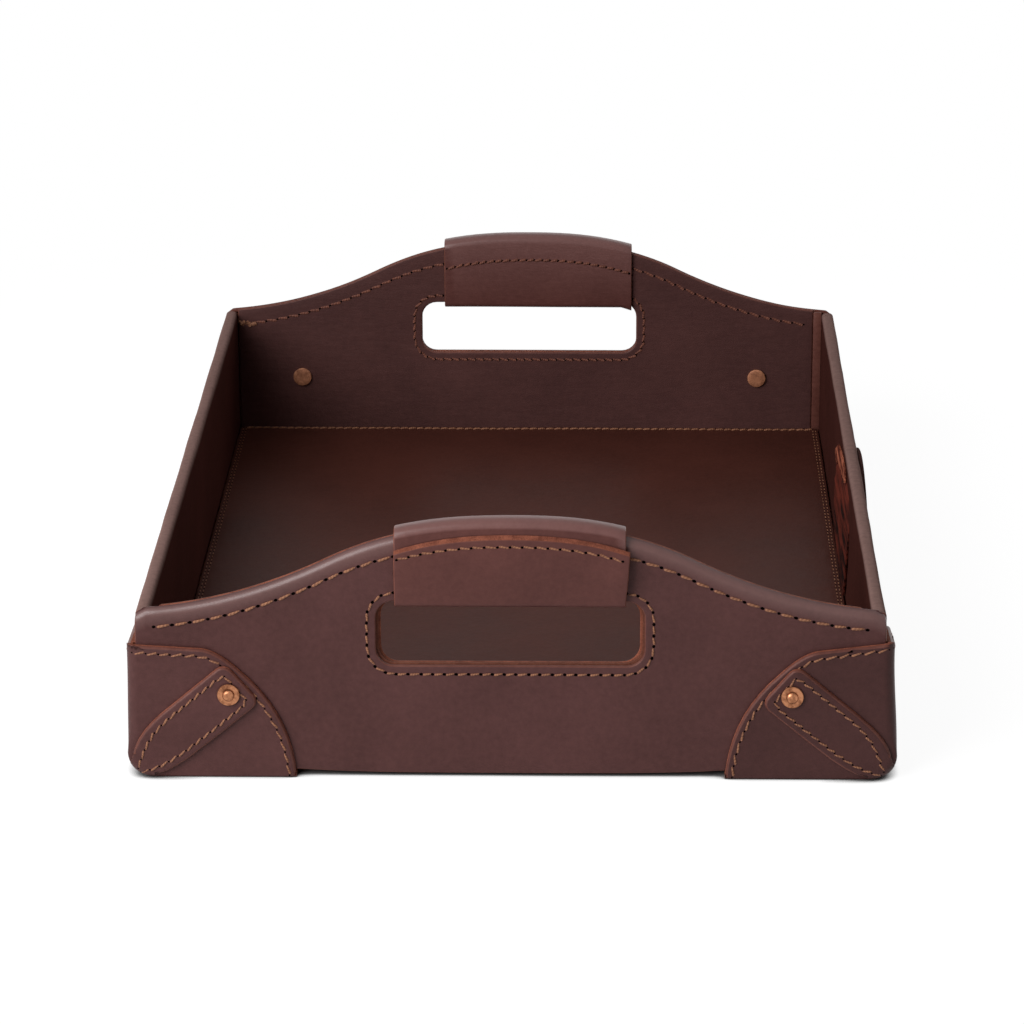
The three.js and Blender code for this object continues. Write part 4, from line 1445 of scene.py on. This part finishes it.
    def _guard(self) -> BMesh:
        """Mould the guard and trim its two flaps and its lips.

        Returns:
            The finished guard in millimetres.
        """
        form = self.form
        shell = self._block(self.guard_low, self.guard_fold, self.guard_round)
        left, front = self.guard_low.x, self.guard_low.y
        flap = self._flap()
        for (along, up), (along_next, up_next) in zip(flap, flap[1:]):
            out = Vector((up_next - up, along - along_next)).normalized()
            cut_plane(shell, Vector((left + along, 0.0, up)), Vector((out.x, 0.0, out.y)))
            cut_plane(shell, Vector((0.0, front + along, up)), Vector((0.0, out.x, out.y)))
        lip = Vector((self.guard_lip - form.half_width, self.guard_lip - form.half_length, 0.0))
        slice_mesh(shell, 0, [lip.x])
        slice_mesh(shell, 1, [lip.y])
        bared = [face for face in shell.faces if face.normal.z < -0.9
                 and face.calc_center_median().x > lip.x and face.calc_center_median().y > lip.y]
        bmesh.ops.delete(shell, geom=bared, context="FACES")
        slice_mesh(shell, 2, spread(*self.guard_heights, self.BEND_STEP))
        self._round_upright(shell)
        near, far = self.guard_lengths
        cuts = [spread(start + near, start + far, self.BEND_STEP) for start in (left, front)]
        thicken(shell, self.guard_leather, cuts, 1.8)
        self._press_flap(shell)
        self._swell(shell)
        return shell

    def _tongue(self) -> list[Point]:
        """Return the outline of the strap on the end wall, anticlockwise, as X and Z.

        Its two long edges bend in towards the corner, where the strap wraps round it.
        """
        tip = self.strap_tip - self.strap_corner
        shape = [(-60.0, -7.2), (-49.4, -10.8), (-43.0, -11.9), (-35.5, -12.6), (-17.5, -self.strap_half)]
        shape += quarter((tip, self.strap_corner - self.strap_half), self.strap_corner, 270.0, 360.0, 4)
        shape += quarter((tip, self.strap_half - self.strap_corner), self.strap_corner, 0.0, 90.0, 4)
        shape += [(-31.3, 12.7), (-37.0, 12.2), (-42.6, 11.1), (-47.5, 9.4), (-52.1, 7.2), (-60.0, 2.5)]
        return [self._along_strap(point) for point in shape]

    def _along_strap(self, point: Point) -> Point:
        """Turn a point measured along and across the strap from the rivet into X and Z."""
        lean = math.radians(self.strap_lean)
        return (self.rivet[0] + point[0] * math.cos(lean) - point[1] * math.sin(lean),
                self.rivet[1] + point[0] * math.sin(lean) + point[1] * math.cos(lean))

    def _strap(self) -> BMesh:
        """Mould the strap over the guard and trim it.

        Returns:
            The finished strap in millimetres.
        """
        form = self.form
        left = self.guard_low.x - self.strap_proud
        shell = self._block(Vector((left, self.strap_front, 0.0)), self.strap_fold, self.strap_round)
        outline = self._tongue()
        for (x, z), (x_next, z_next) in zip(outline, outline[1:]):
            out = Vector((z_next - z, x - x_next)).normalized()
            cut_plane(shell, Vector((x, 0.0, z)), Vector((out.x, 0.0, out.y)))
        cut_plane(shell, Vector((0.0, self.strap_wrap - form.half_length, 0.0)), INWARD)
        cuts = (spread(left + 6.0, left + 60.0, self.BEND_STEP), [], spread(5.0, 60.0, self.BEND_STEP))
        thicken(shell, form.leather, cuts, 1.6)
        self._swell(shell)
        return shell

    def _turned_copper(self, profile: Sequence[Point], closed: bool) -> BMesh:
        """Turn a copper piece on the rivet's axis.

        Args:
            profile: Points as radius and distance in front of the tray's middle.
            closed: Whether the profile closes on itself.

        Returns:
            The turned piece in millimetres.
        """
        shell = bmesh.new()
        corners = [shell.verts.new((radius, 0.0, height)) for radius, height in profile]
        pairs = list(zip(corners, corners[1:])) + ([(corners[-1], corners[0])] if closed else [])
        edges = [shell.edges.new(pair) for pair in pairs]
        bmesh.ops.spin(shell, geom=corners + edges, cent=(0, 0, 0), axis=(0, 0, 1), dvec=(0, 0, 0),
                       angle=math.tau, steps=36, use_merge=True, use_duplicate=False)
        bmesh.ops.remove_doubles(shell, verts=shell.verts[:], dist=0.001)
        bmesh.ops.recalc_face_normals(shell, faces=shell.faces[:])
        rotate(shell, math.pi / 2, "X")
        bmesh.ops.translate(shell, vec=(self.rivet[0], 0.0, self.rivet[1]), verts=shell.verts[:])
        return shell

    def _copper(self) -> tuple[BMesh, BMesh]:
        """Turn the rivet, with its inner head and peened end, and the burr under that end.

        Returns:
            The rivet and the burr.
        """
        inner = -node_box("rivet_front_left")[1].y
        outer = -node_box("rivet_front_left")[0].y
        washer_low = -node_box("burr_front_left")[1].y
        washer_high = -node_box("burr_front_left")[0].y
        rivet = [(0.0, inner), (3.0, inner), (4.8, inner + 0.03), (5.15, inner + 0.16), (5.3, inner + 0.5),
                 (5.2, inner + 1.2), (5.0, inner + 1.4), (2.0, inner + 1.4), (2.0, outer - 1.5),
                 (2.7, outer - 1.5), (2.8, outer - 1.25), (2.66, outer - 0.9), (2.3, outer - 0.5),
                 (1.8, outer - 0.22), (1.2, outer - 0.07), (0.6, outer - 0.01), (0.0, outer)]
        burr = [(2.3, washer_low), (5.15, washer_low), (5.35, washer_low + 0.25), (5.35, washer_high - 0.45),
                (5.15, washer_high - 0.12), (4.6, washer_high), (3.4, washer_high - 0.06),
                (2.5, washer_high - 0.1), (2.3, washer_high - 0.3)]
        shell = self._turned_copper(rivet, False)
        for face in shell.faces:
            face.material_index = int(-face.calc_center_median().y < inner + self.HEAD_DEPTH)
        return shell, self._turned_copper(burr, True)

    def _sew(self, work: Needlework, guard: BMesh, strap: BMesh) -> None:
        """Sew the guard's flaps and the strap's edges."""
        form = self.form
        left, front = self.guard_low.x, self.guard_low.y
        surface = BVHTree.FromBMesh(guard)
        edge = offset_path(self._flap(), self.edge_margin)
        line = [(edge[0][0], 1.2)] + [(along, up) for along, up in edge if up > 2.0 and along > 4.0]
        line.append((3.0, self.flap_top - self.edge_margin - 0.3))
        end_line = [Vector((left + along, front, up)) for along, up in line]
        work.sew(surface, end_line, INWARD, self.guard_seam)
        side_line = [Vector((left, front + along, up)) for along, up in line]
        work.sew(surface, side_line, Vector((1.0, 0.0, 0.0)), self.guard_seam)
        surface = BVHTree.FromBMesh(strap)
        seam = offset_path(self._tongue(), self.strap_margin)
        seam_line = [Vector((x, -form.half_length, z)) for x, z in seam]
        work.sew(surface, seam_line, INWARD, self.strap_seam)

    def _placed(self, shell: BMesh) -> BMesh:
        """Return a mesh of the front left corner, mirrored and turned to this corner."""
        placed = mirrored(shell) if self.mirror else shell
        if self.turned:
            turn_round(placed)
        return placed

    def build(self) -> None:
        """Build and dress the corner."""
        work = Needlework(self.seed)
        guard = self._guard()
        strap = self._strap()
        self._sew(work, guard, strap)
        rivet, burr = self._copper()
        leather = self.finishes.sheet(self.leather or self.finishes.outer)
        copper = [self.finishes.copper, self.finishes.dull_copper]
        pieces = (
            (guard, "corner_guard", "moulded", leather, "outer_leather"),
            (strap, "corner_strap", "sewn", leather, "outer_leather"),
            (rivet, "rivet", "peened", copper, "copper"),
            (burr, "burr", "worn", copper, "copper"),
        )
        for shell, part, look, materials, slot in pieces:
            node = f"{part}_{self.name}"
            finish_piece(self._placed(shell), f"{node}_{look}", materials, [node])
        finish_piece(self._placed(work.thread), f"corner_{self.name}_thread", [self.finishes.thread])
        finish_piece(self._placed(work.holes), f"corner_{self.name}_holes", [self.finishes.shade])


@dataclass
class SideWall:
    """A side wall: one leather folded over its top and under the base, with narrow corner flanges."""

    STEP = 7.0
    TOP_STEP = 0.9
    FOOT_STEP = 1.6

    form: TrayForm
    finishes: Finishes
    name: str
    turned: bool
    flanges: tuple[float, ...]
    half: float = 246.6
    flange: float = 4.75
    flange_top: float = 82.8

    def build(self) -> None:
        """Fold and dress the wall."""
        form = self.form
        fold = SideFold(form)
        half = self.half
        shell = flat_sheet([(-half, 0.0), (half, 0.0), (half, fold.tuck), (-half, fold.tuck)])
        bends = spread(fold.inside, fold.over, self.TOP_STEP) + spread(fold.foot, fold.turned, self.FOOT_STEP)
        flats = cut_lines(0.0, fold.inside, self.STEP) + cut_lines(fold.over, fold.foot, self.STEP)
        thicken(shell, form.leather, (cut_lines(-half, half, self.STEP), flats + bends))
        fold_sheet(shell, fold, 0.45, 51.0 if self.turned else 57.0)
        for end in self.flanges:
            self._add_flange(shell, fold, end)
        if self.turned:
            turn_round(shell)
        finish_piece(shell, f"{self.name}_wall_folded", self.finishes.sheet(self.finishes.side),
                     [f"{self.name}_wall"])

    def _add_flange(self, shell: BMesh, fold: SideFold, end: float) -> None:
        """Add the narrow strip of the wall that is turned in at one end."""
        form = self.form
        size = Vector((self.flange, form.leather, self.flange_top - fold.low))
        centre = Vector((form.wall - form.half_width + size.x / 2, end * (self.half - size.y / 2),
                         fold.low + size.z / 2))
        matrix = Matrix.Translation(centre) @ Matrix.Diagonal((*size, 1.0))
        made = bmesh.ops.create_cube(shell, size=1.0, matrix=matrix)["verts"]
        edges = list({edge for corner in made for edge in corner.link_edges})
        for face in {face for corner in made for face in corner.link_faces}:
            face.material_index = RUBBED
        round_edges(shell, edges, RIM_ROUNDING, 2)


@dataclass
class Base:
    """The floor lining, sewn all round, and the leather under the base."""

    FLOOR_STEP = 8.0
    UNDER_STEP = 12.0

    form: TrayForm
    finishes: Finishes
    floor_corner: float = 4.0
    end_margin: float = 3.2
    side_margins: tuple[float, float] = (1.6, 3.3)
    end_seam: Seam = Seam(4.7, slant=0.5, cover=0.95, width=0.7, height=0.6, hole_length=0.4, hole_width=0.4)
    side_seam: Seam = Seam(5.2, slant=0.1, cover=0.45, width=0.25, height=0.18, hole_length=0.6,
                           hole_width=0.4)

    def build(self) -> None:
        """Build and dress the floor and the base."""
        form = self.form
        low, high = node_box("floor_lining")
        shell = flat_sheet(rounded_rectangle((low.x, low.y), (high.x, high.y), self.floor_corner, 20.0))
        thicken(shell, form.leather, grid_cuts(low, high, self.FLOOR_STEP))
        fold_sheet(shell, Fold(form.floor_top), 0.4, 63.0)
        work = Needlework(17)
        surface = BVHTree.FromBMesh(shell)
        down = Vector((0.0, 0.0, -1.0))
        inset = self.side_margins[1]
        rows = (low.y + self.end_margin, high.y - self.end_margin)
        for y in rows:
            ends = [Vector((x, y, form.floor_top)) for x in (low.x + inset, high.x - inset)]
            work.sew(surface, ends, down, self.end_seam)
        for margin in self.side_margins:
            for x in (low.x + margin, high.x - margin):
                work.sew(surface, [Vector((x, y, form.floor_top)) for y in rows], down, self.side_seam)
        work.finish("floor_seam", self.finishes.thread, self.finishes.shade)
        finish_piece(shell, "floor_lining_sewn", self.finishes.sheet(self.finishes.floor),
                     ["floor_lining"])
        low, high = node_box("base_skin")
        under = flat_sheet([(low.x, low.y), (high.x, low.y), (high.x, high.y), (low.x, high.y)])
        thicken(under, form.leather, grid_cuts(low, high, self.UNDER_STEP))
        fold_sheet(under, Fold(low.z, -1.0), 0.15, 67.0)
        finish_piece(under, "base_skin_cut", self.finishes.sheet(self.finishes.outer),
                     ["base_skin"])


@dataclass
class Patch:
    """Layered patch near the middle of the right wall: a sewn piece outside, torn layers inside."""

    OUTER_STEP = 6.0
    TORN_STEP = 2.5

    finishes: Finishes
    corner: float = 5.0
    crown: float = 16.0
    margin: float = 4.0
    tear: float = 2.2
    strip_tear: float = 3.2
    hug: float = 1.4
    seam: Seam = Seam(6.0)

    def _outline(self, low: Vector, high: Vector) -> list[Point]:
        """Return the outline of the outer layer, with an arched top.

        Args:
            low: Lowest corner of its CAD node.
            high: Highest corner of its CAD node.

        Returns:
            The closed outline as places along and up.
        """
        middle, half = (high.y + low.y) / 2, (high.y - low.y) / 2
        points = []
        for y, z in rounded_rectangle((low.y, low.z), (high.y, high.z), self.corner, 2.5):
            share = (z - low.z) / (high.z - low.z)
            drop = self.crown * share * ((y - middle) / half) ** 2
            points.append((y, z - drop))
        return points

    def _torn(self, upper: Sequence[Point], lower: Sequence[Point], tear: float, seed: float) -> list[Point]:
        """Return a torn outline, as places along and up.

        Args:
            upper: Points of its upper edge, from the front to the rear.
            lower: Points of its lower edge, from the front to the rear.
            tear: Depth of its tears.
            seed: Start of the noise of its tears.

        Returns:
            The closed outline.
        """
        loop = list(lower) + list(upper)[::-1]
        torn = []
        for (y, z), (y_next, z_next) in zip(loop, loop[1:] + loop[:1]):
            for share in spread(0.0, 1.0, 2.0 / max(2.0, math.hypot(y_next - y, z_next - z)))[:-1]:
                spot = Vector((y + (y_next - y) * share, z + (z_next - z) * share, seed))
                pull = tear * 0.6 * wave(spot, 3.0, seed + 7.0)
                torn.append((spot.x + tear * wave(spot, 4.5, seed), spot.y + pull))
        return torn

    def build(self) -> None:
        """Build and dress the three layers."""
        low, high = node_box("right_patch_outer")
        outline = self._outline(low, high)
        shell = flat_sheet(outline)
        cuts = grid_cuts((low.y, low.z), (high.y, high.z), self.OUTER_STEP)
        thicken(shell, high.x - low.x, cuts, RIM_ROUNDING, 0.95)
        fold_sheet(shell, PatchFold(high.x, 1.0), 0.3, 71.0)
        work = Needlework(23)
        path = [Vector((high.x, y, z)) for y, z in offset_path(outline + outline[:1], self.margin)]
        work.sew(BVHTree.FromBMesh(shell), path, Vector((-1.0, 0.0, 0.0)), self.seam)
        work.finish("right_patch_seam", self.finishes.thread, self.finishes.shade)
        finish_piece(shell, "right_patch_outer_sewn", [self.finishes.patch] * 3,
                     ["right_patch_outer"])
        crest = [(-59.0, 60.0), (-55.0, 69.0), (-44.0, 75.0), (-22.0, 77.0), (2.0, 76.5), (24.0, 74.0),
                 (44.0, 67.0), (57.0, 58.0)]
        foot = [(-44.0, 15.5), (-10.0, 14.8), (25.0, 14.8), (56.0, 16.0)]
        torn = self._torn([(-52.0, 32.0), *crest], foot, self.tear, 5.0)
        self._build_torn("inner", torn, self.finishes.torn)
        ridge = [(-28.0, 76.5), (2.0, 76.5), (24.0, 74.0), (44.0, 68.0), (55.0, 62.0)]
        rim = [(-30.0, 72.0), (-8.0, 68.5), (10.0, 66.0), (28.0, 63.5), (44.0, 59.5), (54.0, 56.0)]
        self._build_torn("facing", self._torn(ridge, rim, self.strip_tear, 9.0), self.finishes.strip)

    def _build_torn(self, layer: str, outline: list[Point], material: bpy.types.Material) -> None:
        """Build and dress one torn layer, whose free side curls into the tray."""
        node = f"right_patch_{layer}"
        low, high = node_box(node)
        shell = flat_sheet(outline)
        cuts = grid_cuts((low.y, low.z), (high.y, high.z), self.TORN_STEP)
        thicken(shell, high.x - low.x, cuts, 0.2)
        fold_sheet(shell, PatchFold(low.x, -1.0), 0.35, 75.0)
        for corner in shell.verts:
            ridge = abs(wave(Vector((0.0, corner.co.y * 0.08, corner.co.z)), 5.0, 13.0))
            corner.co.x += self.hug * eased(corner.co.z, 38.0, 60.0) - self.tear * 0.4 * ridge
        finish_piece(shell, f"{node}_torn", [material] * 3, [node])


@dataclass(frozen=True)
class Lamp:
    """A soft square lamp: where it hangs and what it faces in metres, its side and its power in watts."""

    name: str
    place: tuple[float, float, float]
    target: tuple[float, float, float]
    size: float
    power: float


@dataclass
class Studio:
    """Camera at the photograph's angle, soft lamps, a white surround and a plain pale floor."""

    lens: float = 146.14
    sensor: float = 36.0
    shift_x: float = -0.0417
    camera_place: tuple[float, float, float] = (0.04302, -2.06856, 0.76563)
    camera_tilt: float = 70.797
    camera_turn: float = 0.7
    surround: float = 0.04
    floor_size: float = 30.0
    contact_reach: float = 0.012
    fade_reach: float = 0.4
    near_glow: float = 0.93
    far_gain: float = 0.07
    lamps: tuple[Lamp, ...] = (
        Lamp("overhead", (-0.3, 0.1, 1.9), (0.0, 0.0, 0.0), 1.6, 2.6),
        Lamp("left_front", (-1.05, -1.2, 0.95), (0.0, -0.05, 0.05), 1.3, 29.5),
        Lamp("right_rear", (1.25, 1.2, 0.85), (0.0, 0.0, 0.05), 1.2, 6.0),
    )

    def build(self) -> None:
        """Set the camera, the lamps, the surround and the floor."""
        bpy.context.scene.view_settings.view_transform = "Standard"
        self._set_camera()
        for lamp in self.lamps:
            self._set_lamp(lamp)
        self._set_surround()
        self._set_floor()

    def _set_camera(self) -> None:
        """Place the camera."""
        data = bpy.data.cameras.new("photo_camera")
        data.lens = self.lens
        data.sensor_width = self.sensor
        data.shift_x = self.shift_x
        camera = bpy.data.objects.new("photo_camera", data)
        camera.location = self.camera_place
        camera.rotation_euler = (math.radians(self.camera_tilt), 0.0, math.radians(self.camera_turn))
        bpy.context.scene.collection.objects.link(camera)
        bpy.context.scene.camera = camera

    def _set_lamp(self, lamp: Lamp) -> None:
        """Hang one lamp."""
        data = bpy.data.lights.new(lamp.name, "AREA")
        data.shape = "SQUARE"
        data.size = lamp.size
        data.energy = lamp.power
        light = bpy.data.objects.new(lamp.name, data)
        light.location = lamp.place
        light.rotation_euler = (Vector(lamp.target) - Vector(lamp.place)).to_track_quat("-Z", "Y").to_euler()
        bpy.context.scene.collection.objects.link(light)

    def _seen(self, graph: ShaderGraph) -> Value:
        """Return 1 for rays that show the background: seen, mirrored or through glass."""
        path = graph.node("ShaderNodeLightPath")
        kinds = ("Is Camera Ray", "Is Glossy Ray", "Is Transmission Ray")
        rays = [Value(graph, path.outputs[kind]) for kind in kinds]
        return graph.math("MINIMUM", rays[0] + rays[1] + rays[2], 1.0)

    def _set_surround(self) -> None:
        """Make the world white to look at and softer as a light."""
        world = bpy.data.worlds.new("surround")
        world.use_nodes = True
        bpy.context.scene.world = world
        graph = ShaderGraph(world.node_tree)
        soft = graph.value("ShaderNodeBackground", None, {"Color": (1, 1, 1, 1), "Strength": self.surround})
        white = graph.value("ShaderNodeBackground", None, {"Color": (1, 1, 1, 1), "Strength": 1.0})
        shown = graph.value("ShaderNodeMixShader", None, {0: self._seen(graph), 1: soft, 2: white})
        graph.node("ShaderNodeOutputWorld", None, {"Surface": shown})

    def _distance(self, graph: ShaderGraph) -> Value:
        """Return how far a point of the floor is from under the tray."""
        parts = graph.node("ShaderNodeSeparateXYZ", None, {"Vector": graph.place()})
        legs = []
        for axis, name in enumerate("XY"):
            run = graph.math("ABSOLUTE", Value(graph, parts.outputs[name]), 0.0) - CAD_BOX[1][axis]
            beyond = graph.math("MAXIMUM", run, 0.0)
            legs.append(beyond * beyond)
        return graph.math("SQRT", legs[0] + legs[1], 0.0)

    def _set_floor(self) -> None:
        """Lay the floor, which is white to look at, keeps the tray's shadow from the lamps and glows darker
        where the tray comes close, a painted contact shadow.
        """
        material, graph = new_graph("pale_floor")
        matt = graph.value("ShaderNodeBsdfDiffuse", None, {"Color": (0.8, 0.8, 0.8, 1.0)})
        bright = graph.value("ShaderNodeBsdfDiffuse", None, {"Color": (1, 1, 1, 1)})
        lit = graph.value("ShaderNodeAddShader", None, {0: bright, 1: bright})
        lit = graph.value("ShaderNodeAddShader", None, {0: lit, 1: bright})
        # Painted contact shadow: the floor's glow darkens to black where ambient occlusion finds the tray
        # close by
        open_sky = graph.value("ShaderNodeAmbientOcclusion", None, {"Distance": self.contact_reach}, "AO")
        painted_contact_shadow = graph.mix(graph.between(open_sky, 0.3, 0.62), (0, 0, 0, 1), (1, 1, 1, 1))
        white = graph.value("ShaderNodeEmission", None, {"Color": painted_contact_shadow, "Strength": 1.0})
        far = graph.between(self._distance(graph), 0.0, self.fade_reach)
        fade = self.near_glow + far * self.far_gain
        lit = graph.value("ShaderNodeMixShader", None, {0: fade, 1: lit, 2: white})
        shown = graph.value("ShaderNodeMixShader", None, {0: self._seen(graph), 1: matt, 2: lit})
        graph.node("ShaderNodeOutputMaterial", None, {"Surface": shown})
        sheet = bmesh.new()
        bmesh.ops.create_grid(sheet, x_segments=1, y_segments=1, size=self.floor_size / 2)
        mesh = bpy.data.meshes.new("floor")
        sheet.to_mesh(mesh)
        sheet.free()
        mesh.materials.append(material)
        floor = bpy.data.objects.new("floor", mesh)
        bpy.context.scene.collection.objects.link(floor)


def dress_boards(finishes: Finishes) -> None:
    """Give the stiff boards and grip pads, which stay as CAD nodes, their fibrous finish."""
    boards = ["front_board", "rear_board", "left_board", "right_board", "base_board"]
    for name in boards + ["front_grip_pad", "rear_grip_pad"]:
        for holder in bpy.data.objects[name].material_slots:
            holder.material = finishes.board
        LOG.info("%s: dressed", name)


def main() -> None:
    """Build the studio and the tray, piece by piece."""
    logging.basicConfig(level=logging.INFO, format="%(name)s %(message)s")
    Studio().build()
    form = TrayForm.from_frame()
    finishes = Finishes()
    for end in EndName:
        EndWall(form, finishes, end).build()
    corners = [(end, side) for end in ("front", "rear") for side in ("left", "right")]
    for index, (end, side) in enumerate(corners):
        rear = end == "rear"
        mirror = (side == "right") != rear
        corner = Corner(form, finishes, f"{end}_{side}", mirror, rear, CORNER_SEED + index)
        # The front right guard takes a darker copy of the outer leather, painted shade on that corner, and is
        # taller and fuller than the other three
        if corner.name == "front_right":
            corner.leather = finishes.dim
            corner.flap_top = FULL_FLAP_TOP
            corner.bulge = FULL_BULGE
        corner.build()
    SideWall(form, finishes, "left", False, (-1.0,)).build()
    SideWall(form, finishes, "right", True, (-1.0, 1.0)).build()
    Base(form, finishes).build()
    Patch(finishes).build()
    dress_boards(finishes)


if __name__ == "__main__":
    main()
